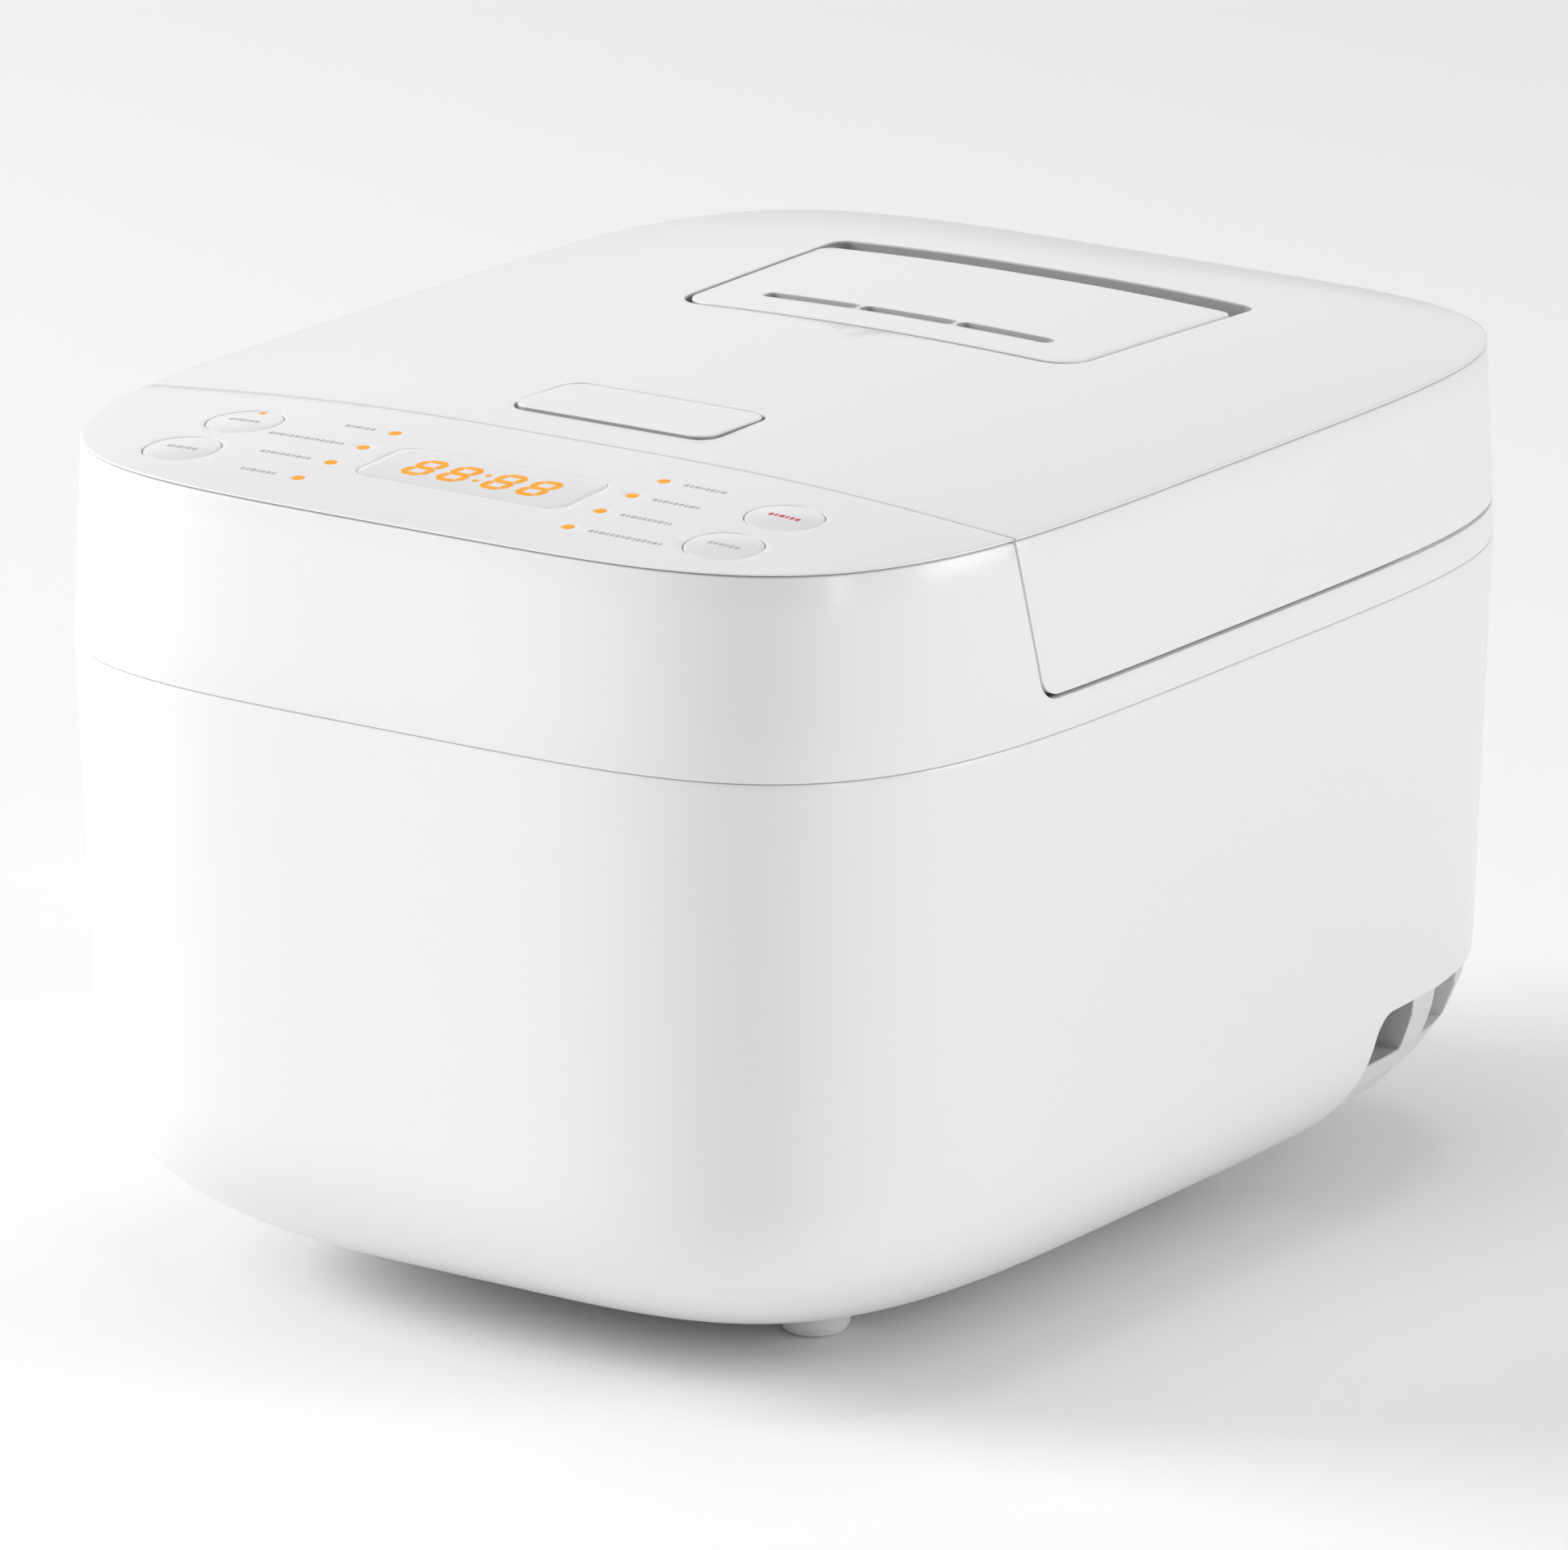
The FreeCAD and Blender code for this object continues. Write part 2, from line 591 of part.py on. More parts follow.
def hinge():
    pin = primitive("Part::Cylinder", "hinge_pin",
                    {"Radius": "pin_radius", "Height": "2 * knuckle_end"},
                    ("-knuckle_end", "hinge_y", "hinge_z"))
    pin.Placement.Rotation = FreeCAD.Rotation(Vector(0, 1, 0), 90)
    keep("hinge_pin", pin)
    spring = coil(5.0, 0.9, 15, -20.4, 20.4, 0, 0)
    spring.Placement = FreeCAD.Placement(Vector(0, size("hinge_y"), size("hinge_z")),
                                         FreeCAD.Rotation(Vector(0, 1, 0), 90))
    from_shape("hinge_spring", spring)


# ---------------------------------------------------------------- control panel


def edge_lip(y_low, y_high):
    """A locating lip under a cap plate, just inside the wall."""
    outside = size("wall") + size("lip_gap")
    lip = upper_hull(outside).cut(upper_hull(outside + size("lip_thick")))
    return lip.common(block((-FAR, y_low, WALL_HIGH - size("lip_deep")), (FAR, y_high, CAP_LOW + 0.3)))


def cap_plate():
    """The crowned top, before it is split into panel and lid."""
    return UPPER.cut(TOP_INSIDE).common(slab(CAP_LOW, 250))


def key_places():
    return {"menu_key": (-1, "key_y_rear"), "timer_key": (-1, "key_y_front"),
            "start_key": (1, "key_y_rear"), "cancel_key": (1, "key_y_front")}


def lamp_places():
    rows = [size("lamp_y") - index * size("lamp_pitch") for index in range(4)]
    return [(side * size("lamp_x"), y) for side in (-1, 1) for y in rows]


def window_pad(grow, low, high):
    half_x, half_y = size("window_x") / 2 + grow, size("window_y") / 2 + grow
    y = size("window_centre")
    return pad(-half_x, half_x, y - half_y, y + half_y, low, high, size("window_corner") + grow)


def fascia(cap):
    edge = size("panel_seam") - 0.3
    plate = cap.common(block((-FAR, -FAR, 0), (FAR, edge, 250)))
    plate = plate.fuse(edge_lip(-FAR, -100))
    key_hole = size("key_radius") + size("key_gap")
    for side, row in key_places().values():
        plate = plate.cut(rod(key_hole, 150, 250, side * size("key_x"), size(row)))
    for x, y in lamp_places():
        plate = plate.cut(rod(size("lamp_radius"), 150, 250, x, y))
    return from_shape("fascia", plate.cut(window_pad(0.15, 150, 250)))


def keys():
    raised = UPPER.translated(Vector(0, 0, size("key_raise")))
    for name, (side, row) in key_places().items():
        x, y = side * size("key_x"), size(row)
        top = rod(size("key_radius"), 187.4, 250, x, y).common(raised)
        flange = rod(size("key_radius") + 1.2, 187.4, 188.8, x, y)
        stem = rod(2.0, 186.4, 188, x, y)
        from_shape(name, top.fuse([flange, stem]))


def display():
    """The window and what stands on the control board behind the panel."""
    window = window_pad(0.0, 190.0, 250).common(UPPER)
    from_shape("display_window", window)
    base_z = size("board_z") + size("board_thick")
    half_x, half_y = size("window_x") / 2 - 1.5, size("window_y") / 2 - 0.5
    y = size("window_centre")
    from_shape("display_module", block((-half_x, y - half_y, base_z), (half_x, y + half_y, 189.8)))
    chip, tall = 1.5, 1.9
    lamps = [rod(size("lamp_radius"), base_z + tall + 0.1, 250, x, y).common(UPPER) for x, y in lamp_places()]
    from_shape("lamp_lenses", Part.Compound(lamps))
    chips = []
    for x, y in lamp_places():
        chips.append(block((x - chip, y - chip, base_z), (x + chip, y + chip, base_z + tall)))
    from_shape("lamp_chips", Part.Compound(chips))
    switches = []
    for side, row in key_places().values():
        x, y = side * size("key_x"), size(row)
        body = block((x - 3, y - 3, base_z), (x + 3, y + 3, 183.5))
        switches.append(body.fuse(rod(1.7, 183, 185.4, x, y)))
    from_shape("key_switches", Part.Compound(switches))


def control_board():
    """The board behind the panel, its tray and the screws that hold them together."""
    low, high = size("board_z"), size("board_z") + size("board_thick")
    screw_holes = [(x, y) for x in (-56, 56) for y in (-128, -96)]
    screw, head, post, tray_low = 1.5, 2.8, 4.0, 166.0
    board = pad(-80, 80, -136, -90, low, high, 3.0).common(upper_hull(size("wall") + 1.5))
    tray = pad(-84, 84, -138, -90, tray_low, tray_low + 2, 3.0).common(upper_hull(size("wall") + 0.6))
    screws = []
    for x, y in screw_holes:
        board = board.cut(rod(screw + 0.2, 100, 200, x, y))
        tray = tray.fuse(rod(post, tray_low, low, x, y)).cut(rod(screw, tray_low + 2.5, 200, x, y))
        screws.append(rod(screw, tray_low + 4, high + 0.1, x, y).fuse(rod(head, high, high + 1.5, x, y)))
    from_shape("control_board", board)
    from_shape("board_tray", tray)
    from_shape("board_screws", Part.Compound(screws))


# ---------------------------------------------------------------- lid


def hinge_room(radius):
    """The room the lid leaves round the hinge block."""
    half = size("block_half") + 1.0
    y, z = size("hinge_y"), size("hinge_z")
    return cross_rod(radius, -half, half, y, z).fuse(block((-half, y - radius, 120), (half, FAR, z)))


def lid_skirt():
    space = lid_space(0.0, size("lid_bottom"))
    ring = UPPER.cut(UPPER_INSIDE).common(slab(0, WALL_HIGH)).common(space)
    thick = 2.0
    high = WALL_HIGH - 1.0
    low = size("lid_bottom") + 5.0
    points = [(seam_at(high), high), (seam_at(high, thick), high),
              (seam_at(low, thick), low), (seam_at(low), low)]
    front = side_prism(points).common(upper_hull(1.0))
    sill = side_prism([(seam_at(low), low + 1), (seam_at(low) + 2.6, low + 1), (seam_at(low) + 2.6, low - 5),
                       (seam_at(low) + 1.4, low - 5)])
    sill = sill.common(upper_hull(1.0)).common(space)
    skirt = ring.fuse([front, sill]).cut(latch_slot(0.5)).cut(hinge_room(15.2))
    return from_shape("lid_skirt", skirt)


def vent_prism(front, rear, grow, front_corner, rear_corner, low, high=250.0):
    """An upright prism over the vent's plan, whose sides spread towards the rear."""
    half = size("vent_half") + grow
    near = half + size("vent_spread") * (front - size("vent_front"))
    far = half + size("vent_spread") * (rear - size("vent_front"))
    plan = [(-near, front), (near, front), (far, rear), (-far, rear)]
    corners = [Vector(x, y, low) for x, y in plan]
    face = rounded_face(corners, (front_corner, front_corner, rear_corner, rear_corner))
    return face.extrude(Vector(0, 0, high - low))


def vent_pocket(grow, low):
    """The well that the vent drops into."""
    return vent_prism(size("vent_front") - grow, size("vent_rear") + grow, grow, size("vent_corner") + grow,
                      size("vent_rear_corner") + grow, low)


def vent_cap(inset, low, high=250.0):
    """The vent cover's plan."""
    corner = size("vent_corner") - size("vent_gap") - inset
    rear_corner = max(size("vent_rear_corner") - size("vent_gap") - inset, 1.0)
    front, rear = size("vent_cap_front") + inset, size("vent_cap_rear") - inset
    return vent_prism(front, rear, -size("vent_gap") - inset, corner, rear_corner, low, high)


def release_pad(grow, low, high):
    half_x, half_y = size("release_half") + grow, size("release_depth") / 2 + grow
    y = size("release_y")
    return pad(-half_x, half_x, y - half_y, y + half_y, low, high, size("release_corner") + grow)


def lid_top(cap):
    edge = size("panel_seam") + 0.3
    plate = cap.common(block((-FAR, edge, 0), (FAR, FAR, 250)))
    hinge_gap = block((-62, 60, 0), (62, FAR, 250))
    lip = edge_lip(-60, FAR).cut(hinge_gap)
    pocket = vent_pocket(size("pocket_wall"), size("vent_floor") - 2).common(upper_hull(1.0, -1.0))
    plate = plate.fuse([lip, pocket]).cut(vent_pocket(0.0, size("vent_floor")))
    plate = plate.cut(rod(size("steam_radius") + 2.2, 150, 200, 0, size("steam_y")))
    plate = plate.cut(release_pad(size("release_gap"), 150, 250))
    y, z = size("hinge_y"), size("hinge_z")
    low, high = size("block_half") + 1.5, size("knuckle_end") - 1.0
    for side in (-1, 1):
        ends = sorted((side * low, side * high))
        knuckle = cross_rod(5.5, ends[0], ends[1], y, z)
        web = block((ends[0], y - 5.5, z), (ends[1], y + 5.5, 194)).common(upper_hull(2.9, -0.5))
        plate = plate.fuse([knuckle, web])
    plate = plate.cut(cross_rod(size("pin_radius") + size("running_fit"), -FAR, FAR, y, z))
    return from_shape("lid_top", plate.cut(hinge_room(15.2)))


def lid_liner():
    """The lid's inner cover, with the recess over the pot and the steam tube."""
    low = size("lid_bottom") + 1.0
    plate = upper_hull(size("wall") + 0.3).common(lid_space(3.0, low)).common(slab(low, low + 2.2))
    y = size("pot_y")
    radius = size("recess_radius")
    roof = size("roof_height")
    cup = rod(radius + 1.6, low, roof + 2, 0, y)
    liner = plate.fuse(cup).cut(rod(radius, 100, roof, 0, y))
    tube = rod(size("steam_radius") + 2.0, 161.0, size("vent_floor") - 0.4, 0, size("steam_y"))
    liner = liner.fuse(tube).cut(rod(size("steam_radius"), 100, 250, 0, size("steam_y")))
    return from_shape("lid_liner", liner.cut(hinge_room(16.0)))


def lid_inner_parts():
    """The inner lid, with its ring of steam holes, and the seal that meets the pot's flange."""
    disc = turned("inner_lid_disc",
                  [("0", "159.4"), ("70", "159.4"), ("78", "158.4"), ("recess_radius - 2", "158.4"),
                   ("recess_radius - 2", "159.4"), ("79", "159.4"), ("71", "160.4"), ("0", "160.4")],
                  ("0", "pot_y"))
    holes = []
    for index in range(6):
        angle = math.radians(60 * index)
        x, y = 12 * math.cos(angle), 12 * math.sin(angle)
        holes.append(cylinder(f"steam_hole_{index}", "2", "10", (f"{x:.3f}", f"steam_y + {y:.3f}", "155")))
    keep("inner_lid", cut("inner_lid", disc, *holes))
    revolved("lid_gasket",
             [("flange_radius - 6", "flange_top + 0.3"), ("flange_radius - 0.5", "flange_top + 0.3"),
              ("flange_radius - 0.5", "158.4"), ("flange_radius - 3", "158.4"),
              ("flange_radius - 3", "flange_top + 1.9"), ("flange_radius - 6", "flange_top + 1.2")],
             ("0", "pot_y"))


def vent():
    hollow = vent_cap(2.0, 100).common(upper_hull(0.0, -2.2))
    cover = vent_cap(0.0, 186.0).common(UPPER).cut(hollow)
    reach, width = size("slot_length") / 2, size("slot_width") / 2
    y = size("slot_y")
    for index in (-1, 0, 1):
        x = index * size("slot_pitch")
        cover = cover.cut(pad(x - reach, x + reach, y - width, y + width, 100, 250, width * 0.9))
    from_shape("vent_cover", cover)
    floor = size("vent_floor")
    cup = vent_cap(2.3, floor + 2.6, 190.0).cut(vent_cap(4.0, floor + 4.2))
    spout = rod(size("spout_radius"), floor + 0.3, floor + 3, 0, size("steam_y"))
    cup = cup.fuse(spout).cut(rod(size("spout_radius") - 1.4, 100, 250, 0, size("steam_y")))
    from_shape("vent_cup", cup)
    revolved("vent_seal",
             [("spout_radius", "vent_floor + 0.3"), ("steam_radius + 6", "vent_floor + 0.3"),
              ("steam_radius + 5", "vent_floor + 2.6"), ("spout_radius", "vent_floor + 2.6")],
             ("0", "steam_y"))


def release():
    """The release button with its stem, the latch it moves, the bridge over the latch and the spring."""
    y = size("release_y")
    stem = size("stem_radius")
    low = size("roof_height") + 2
    high = low + 6.4
    hollow = release_pad(-1.8, 100, 250).common(upper_hull(2.0, -2.0))
    button = release_pad(0.0, 189.5, 250).common(UPPER).cut(hollow)
    from_shape("release_button", button.fuse(rod(stem, low + size("release_travel") + 0.4, 196, 0, y)))
    half_bar = 8.6
    bar = block((-half_bar, -79.3, low + 0.5), (half_bar, -48.0, low + 4.2))
    bar = bar.cut(block((-stem - 0.9, y - 8.6, 150), (stem + 0.9, y + 4.2, 200)))
    ahead = -0.25
    trim = side_prism([(seam_at(250, ahead), 250), (seam_at(100, ahead), 100), (FAR, 100), (FAR, 250)])
    from_shape("latch_slider", bar.common(trim))
    half_bridge, half_deep, leg = 14.0, 9.0, 3.0
    bridge = block((-half_bridge, y - half_deep, high - 1.6), (half_bridge, y + half_deep, high))
    for x in (-half_bridge, half_bridge - leg):
        bridge = bridge.fuse(block((x, y - half_deep, low), (x + leg, y + half_deep, high)))
    from_shape("latch_bridge", bridge.cut(rod(stem + size("running_fit"), 100, 250, 0, y)))
    from_shape("release_spring", coil(5.2, 0.5, 5, high, 193.6, 0, y))


# ---------------------------------------------------------------- build, check and write

outer_shell()
base_plate()
feet()
base_screws()
inlet_housing()
inlet_pins()
heating()
housing_supports()
power_electronics()
upper_housing()
deck()
hinge()
CAP = cap_plate()
fascia(CAP)
keys()
display()
control_board()
lid_skirt()
lid_top(CAP)
lid_liner()
lid_inner_parts()
vent()
release()
doc.recompute()

for item in doc.Objects:
    if "Invalid" in item.State or "Error" in item.State:
        raise SystemExit(f"{item.Name} is {item.State}")
for label, item in nodes.items():
    shape = item.Shape
    if shape.isNull() or not shape.isValid() or not shape.Solids:
        raise SystemExit(f"{label} has no valid shape")
    shape.exportStep(f"parts/{label}.step")
    bounds = shape.BoundBox
    print(f"{label:18s} {len(shape.Solids)} solids  {shape.Volume / 1000:8.2f} cm3  "
          f"x {bounds.XMin:7.1f} {bounds.XMax:7.1f}  y {bounds.YMin:7.1f} {bounds.YMax:7.1f}  "
          f"z {bounds.ZMin:6.1f} {bounds.ZMax:6.1f}")
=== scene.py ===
"""Looks of the rice cooker: fine casing, crowned top, keys, display and finishes round the CAD frame.

Lengths are in millimetres until a mesh is made; build() turns them into metres.
"""
import json
import math

import bmesh
import bpy
import numpy as np
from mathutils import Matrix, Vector


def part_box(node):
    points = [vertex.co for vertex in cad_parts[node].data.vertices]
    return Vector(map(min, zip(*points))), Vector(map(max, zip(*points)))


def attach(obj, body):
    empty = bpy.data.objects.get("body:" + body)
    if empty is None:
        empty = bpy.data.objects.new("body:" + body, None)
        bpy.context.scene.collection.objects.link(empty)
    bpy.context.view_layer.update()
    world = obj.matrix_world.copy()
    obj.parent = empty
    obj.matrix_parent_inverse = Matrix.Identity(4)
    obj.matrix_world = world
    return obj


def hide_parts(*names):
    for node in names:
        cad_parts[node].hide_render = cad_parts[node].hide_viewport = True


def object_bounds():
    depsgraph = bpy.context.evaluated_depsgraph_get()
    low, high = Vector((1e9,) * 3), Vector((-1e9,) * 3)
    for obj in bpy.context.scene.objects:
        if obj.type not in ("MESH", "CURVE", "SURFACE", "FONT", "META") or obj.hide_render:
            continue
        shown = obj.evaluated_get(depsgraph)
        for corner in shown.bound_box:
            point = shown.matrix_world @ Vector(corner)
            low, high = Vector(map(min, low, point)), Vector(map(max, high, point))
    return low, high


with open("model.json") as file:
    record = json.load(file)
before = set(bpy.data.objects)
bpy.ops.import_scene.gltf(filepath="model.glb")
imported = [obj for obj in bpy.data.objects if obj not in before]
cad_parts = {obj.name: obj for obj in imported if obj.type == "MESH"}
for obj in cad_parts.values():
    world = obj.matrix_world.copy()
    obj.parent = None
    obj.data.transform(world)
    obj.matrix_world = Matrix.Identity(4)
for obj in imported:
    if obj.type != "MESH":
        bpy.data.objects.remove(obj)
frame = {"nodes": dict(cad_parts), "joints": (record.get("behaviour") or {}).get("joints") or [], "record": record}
CAD_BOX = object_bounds()

MM = 0.001
RING = 288                      # points round the casing
STRAIGHT_PARTS = 16             # points along each straight side of a rounded outline
FAR = 200.0                     # past the casing on every side
CUT_LOW, CUT_HIGH = 150.0, 250.0
BUMP_DEPTH = 0.0002             # metres

# The plan is a superellipse, squarer at its rear than at its front and a little rounder towards the foot.
POWER_FRONT, POWER_REAR = 4.30, 4.77
POWER_DRIFT = 0.22
WALL = 2.5
DRAFT_SIDE, DRAFT_END = 0.015, 0.033
CURVE_HEIGHT, CURVE_INSET, CURVE_POWER = 43.8, 55.7, 2.065
CROWN_SIDE, CROWN_FRONT, CROWN_REAR = 2.0, 2.5, 7.0
RIM_X, RIM_Y = 118.9, 149.25

# The seam between panel and lid leans back as it goes down, then turns level.
PANEL_SEAM, SEAM_SLANT, SEAM_CORNER = -83.3, 0.235, 6.0
LID_GAP = 0.7
SEAM_HALF = 0.42                # half the gap between panel and lid


def corner(node, high):
    """A CAD node's highest or lowest corner in millimetres."""
    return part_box(node)[1 if high else 0] / MM


HALF_X, HALF_Y, SEAM = corner("outer_shell", True)
SHELL_LOW = corner("base_plate", True).z + 0.3
FOOT_HEIGHT = corner("base_plate", False).z
UPPER_LOW = SEAM + 0.1
WALL_HIGH = corner("upper_housing", True).z
CAP_LOW = WALL_HIGH + 0.4
RIM = CAP_LOW + 0.4
CROWN = CAD_BOX[1].z / MM - RIM
LID_LOW = corner("lid_skirt", False).z
RING_TOP = LID_LOW - 1.0
NOTCH_FRONT, NOTCH_TOP, NOTCH_SIDE, NOTCH_CORNER = 63.0, 48.4, 52.0, 6.0
POT_CENTRE = (0.0, 26.0)
HINGE = Vector(next(j for j in frame["joints"] if j["name"] == "lid_hinge")["pos_m"]) / MM


# ---------------------------------------------------------------- finishes


def shader(name):
    material = bpy.data.materials.new(name)
    material.use_nodes = True
    nodes = material.node_tree.nodes
    return material, nodes, material.node_tree.links, nodes["Principled BSDF"]


def add(nodes, kind, **values):
    node = nodes.new(kind)
    for key, value in values.items():
        if key in node.inputs:
            node.inputs[key].default_value = value
        else:
            setattr(node, key, value)
    return node


def grain(nodes, links, scale, detail):
    """Noise over the object's own coordinates."""
    place = nodes.new("ShaderNodeTexCoord")
    noise = add(nodes, "ShaderNodeTexNoise", Scale=scale, Detail=detail)
    links.new(place.outputs["Object"], noise.inputs["Vector"])
    return noise


def shade_between(nodes, links, source, low, high):
    """A colour that drifts between two near tones."""
    ramp = nodes.new("ShaderNodeValToRGB")
    ramp.color_ramp.elements[0].position = 0.2
    ramp.color_ramp.elements[1].position = 0.8
    ramp.color_ramp.elements[0].color = (*low, 1)
    ramp.color_ramp.elements[1].color = (*high, 1)
    links.new(source, ramp.inputs["Fac"])
    return ramp.outputs["Color"]


def roughen(nodes, links, source, surface, strength):
    """Small bumps that follow a noise."""
    bump = add(nodes, "ShaderNodeBump", Strength=strength, Distance=BUMP_DEPTH)
    links.new(source, bump.inputs["Height"])
    links.new(bump.outputs["Normal"], surface.inputs["Normal"])


def moulded(name, tone, rough=0.3, coat=0.0, texture=900.0, depth=0.04, drift=0.008):
    """Injection-moulded plastic: a slight drift of tone and gloss and, unless depth is 0, a fine texture."""
    material, nodes, links, surface = shader(name)
    wide = grain(nodes, links, 6.0, 1.0)
    low = tuple(c * (1 - drift) for c in tone)
    links.new(shade_between(nodes, links, wide.outputs["Fac"], low, tone), surface.inputs["Base Color"])
    uneven = grain(nodes, links, 9.0, 1.0)
    spread = add(nodes, "ShaderNodeMapRange")
    spread.inputs["To Min"].default_value = rough - 0.005
    spread.inputs["To Max"].default_value = rough + 0.005
    links.new(uneven.outputs["Fac"], spread.inputs["Value"])
    links.new(spread.outputs["Result"], surface.inputs["Roughness"])
    if depth:
        roughen(nodes, links, grain(nodes, links, texture, 2.0).outputs["Fac"], surface, depth)
    surface.inputs["Coat Weight"].default_value = coat
    surface.inputs["Coat Roughness"].default_value = 0.12
    return material


def metal(name, tone, rough=0.3, stretch=(1.0, 1.0, 60.0), scale=40.0):
    """Metal with a drawn or brushed grain along one way."""
    material, nodes, links, surface = shader(name)
    surface.inputs["Metallic"].default_value = 1.0
    place = nodes.new("ShaderNodeTexCoord")
    spread = add(nodes, "ShaderNodeMapping", Scale=stretch)
    links.new(place.outputs["Object"], spread.inputs["Vector"])
    noise = add(nodes, "ShaderNodeTexNoise", Scale=scale, Detail=5.0)
    links.new(spread.outputs["Vector"], noise.inputs["Vector"])
    low = tuple(c * 0.86 for c in tone)
    links.new(shade_between(nodes, links, noise.outputs["Fac"], low, tone), surface.inputs["Base Color"])
    levels = add(nodes, "ShaderNodeMapRange")
    levels.inputs["To Min"].default_value = rough - 0.06
    levels.inputs["To Max"].default_value = rough + 0.1
    links.new(noise.outputs["Fac"], levels.inputs["Value"])
    links.new(levels.outputs["Result"], surface.inputs["Roughness"])
    roughen(nodes, links, noise.outputs["Fac"], surface, 0.08)
    return material


def non_stick(name):
    """Dark fluoropolymer coating with pale flecks."""
    material, nodes, links, surface = shader(name)
    flecks = add(nodes, "ShaderNodeTexVoronoi", Scale=900.0)
    place = nodes.new("ShaderNodeTexCoord")
    links.new(place.outputs["Object"], flecks.inputs["Vector"])
    ramp = nodes.new("ShaderNodeValToRGB")
    ramp.color_ramp.elements[0].position = 0.06
    ramp.color_ramp.elements[0].color = (0.34, 0.34, 0.35, 1)
    ramp.color_ramp.elements[1].position = 0.13
    ramp.color_ramp.elements[1].color = (0.025, 0.025, 0.027, 1)
    links.new(flecks.outputs["Distance"], ramp.inputs["Fac"])
    links.new(ramp.outputs["Color"], surface.inputs["Base Color"])
    roughen(nodes, links, grain(nodes, links, 700.0, 3.0).outputs["Fac"], surface, 0.12)
    surface.inputs["Roughness"].default_value = 0.34
    return material


def glowing(name, tone, strength):
    """A lit lamp or display segment, faintly mottled."""
    material, nodes, links, surface = shader(name)
    noise = grain(nodes, links, 400.0, 1.0)
    low = tuple(c * 0.93 for c in tone)
    colour = shade_between(nodes, links, noise.outputs["Fac"], low, tone)
    links.new(colour, surface.inputs["Base Color"])
    links.new(colour, surface.inputs["Emission Color"])
    surface.inputs["Emission Strength"].default_value = strength
    surface.inputs["Roughness"].default_value = 0.35
    surface.inputs["Specular IOR Level"].default_value = 0.15
    return material


WHITE = (0.86, 0.86, 0.875)
LOOKS = {
    "shell_white": moulded("satin_white_shell", WHITE, 0.27, 0.2, 1100.0, 0.0, 0.005),
    "top_white": moulded("satin_white_top", WHITE, 0.32, 0.1, 1100.0, 0.0, 0.005),
    "base_grey": moulded("light_grey_base", (0.70, 0.70, 0.72), 0.45, 0.0, 1100.0, 0.08),
    "foot_white": moulded("white_foot", (0.80, 0.80, 0.81), 0.5, 0.0, 800.0, 0.1),
    "socket_dark": moulded("socket_grey", (0.15, 0.16, 0.155), 0.5, 0.0, 900.0, 0.1, 0.08),
    "deck_grey": moulded("inner_plastic", (0.66, 0.66, 0.67), 0.38, 0.0, 1000.0, 0.08, 0.03),
    "pot_black": non_stick("pot_coating"),
    "plate_metal": metal("spun_aluminium", (0.78, 0.79, 0.80), 0.32, (60.0, 1.0, 1.0), 30.0),
    "steel": metal("brushed_steel", (0.56, 0.56, 0.57), 0.3),
    "silicone": moulded("translucent_silicone", (0.74, 0.74, 0.72), 0.55, 0.0, 600.0, 0.1, 0.04),
    "contact_brass": metal("contact_brass", (0.80, 0.62, 0.30), 0.25, (1.0, 1.0, 20.0)),
    "board_green": moulded("solder_mask", (0.02, 0.16, 0.06), 0.3, 0.3, 300.0, 0.15, 0.25),
    "component_black": moulded("black_component", (0.02, 0.02, 0.022), 0.45, 0.0, 700.0, 0.12, 0.2),
    "lamp_amber": glowing("lamp_amber", (0.90, 0.33, 0.001), 0.26),
    "window_white": moulded("window_white", (0.80, 0.80, 0.81), 0.16, 0.4, 1100.0, 0.0, 0.005),
    "key_white": moulded("key_white", (0.82, 0.82, 0.835), 0.24, 0.3, 1100.0, 0.0, 0.005),
}
PRINT_GREY = moulded("printed_grey", (0.50, 0.50, 0.52), 0.5, 0.0, 900.0, 0.05, 0.06)
PRINT_RED = moulded("printed_red", (0.62, 0.06, 0.08), 0.5, 0.0, 900.0, 0.05, 0.06)
SOCKET_GREY = moulded("socket_lining_grey", (0.55, 0.56, 0.56), 0.5, 0.0, 900.0, 0.06, 0.03)
# Painted shade: a light grey that stands for the shade deep in the rear recess by the inlet.
POCKET_PAINTED_SHADE = moulded("pocket_painted_shade_grey", (0.78, 0.78, 0.785), 0.5, 0.0, 900.0, 0.06, 0.03)
# Painted shade: a mid grey given to gap walls, skirts, slot linings, the seam strip and the vent's well, standing
# for the shade in gaps and recesses.
PAINTED_SHADE_GREY = moulded("gap_painted_shade", (0.40, 0.41, 0.41), 0.5, 0.0, 900.0, 0.06, 0.03)

for part in frame["record"]["subparts"]:
    carried = frame["nodes"][part["node"]]
    carried.data.materials.clear()
    carried.data.materials.append(LOOKS[part["material_slot"]])


# ---------------------------------------------------------------- mesh helpers


def build(name, points, faces):
    """A mesh object from points in millimetres."""
    mesh = bpy.data.meshes.new(name)
    mesh.from_pydata((np.asarray(points, float) * MM).tolist(), [], faces)
    mesh.validate()
    mesh.update()
    piece = bpy.data.objects.new(name, mesh)
    bpy.context.scene.collection.objects.link(piece)
    return piece


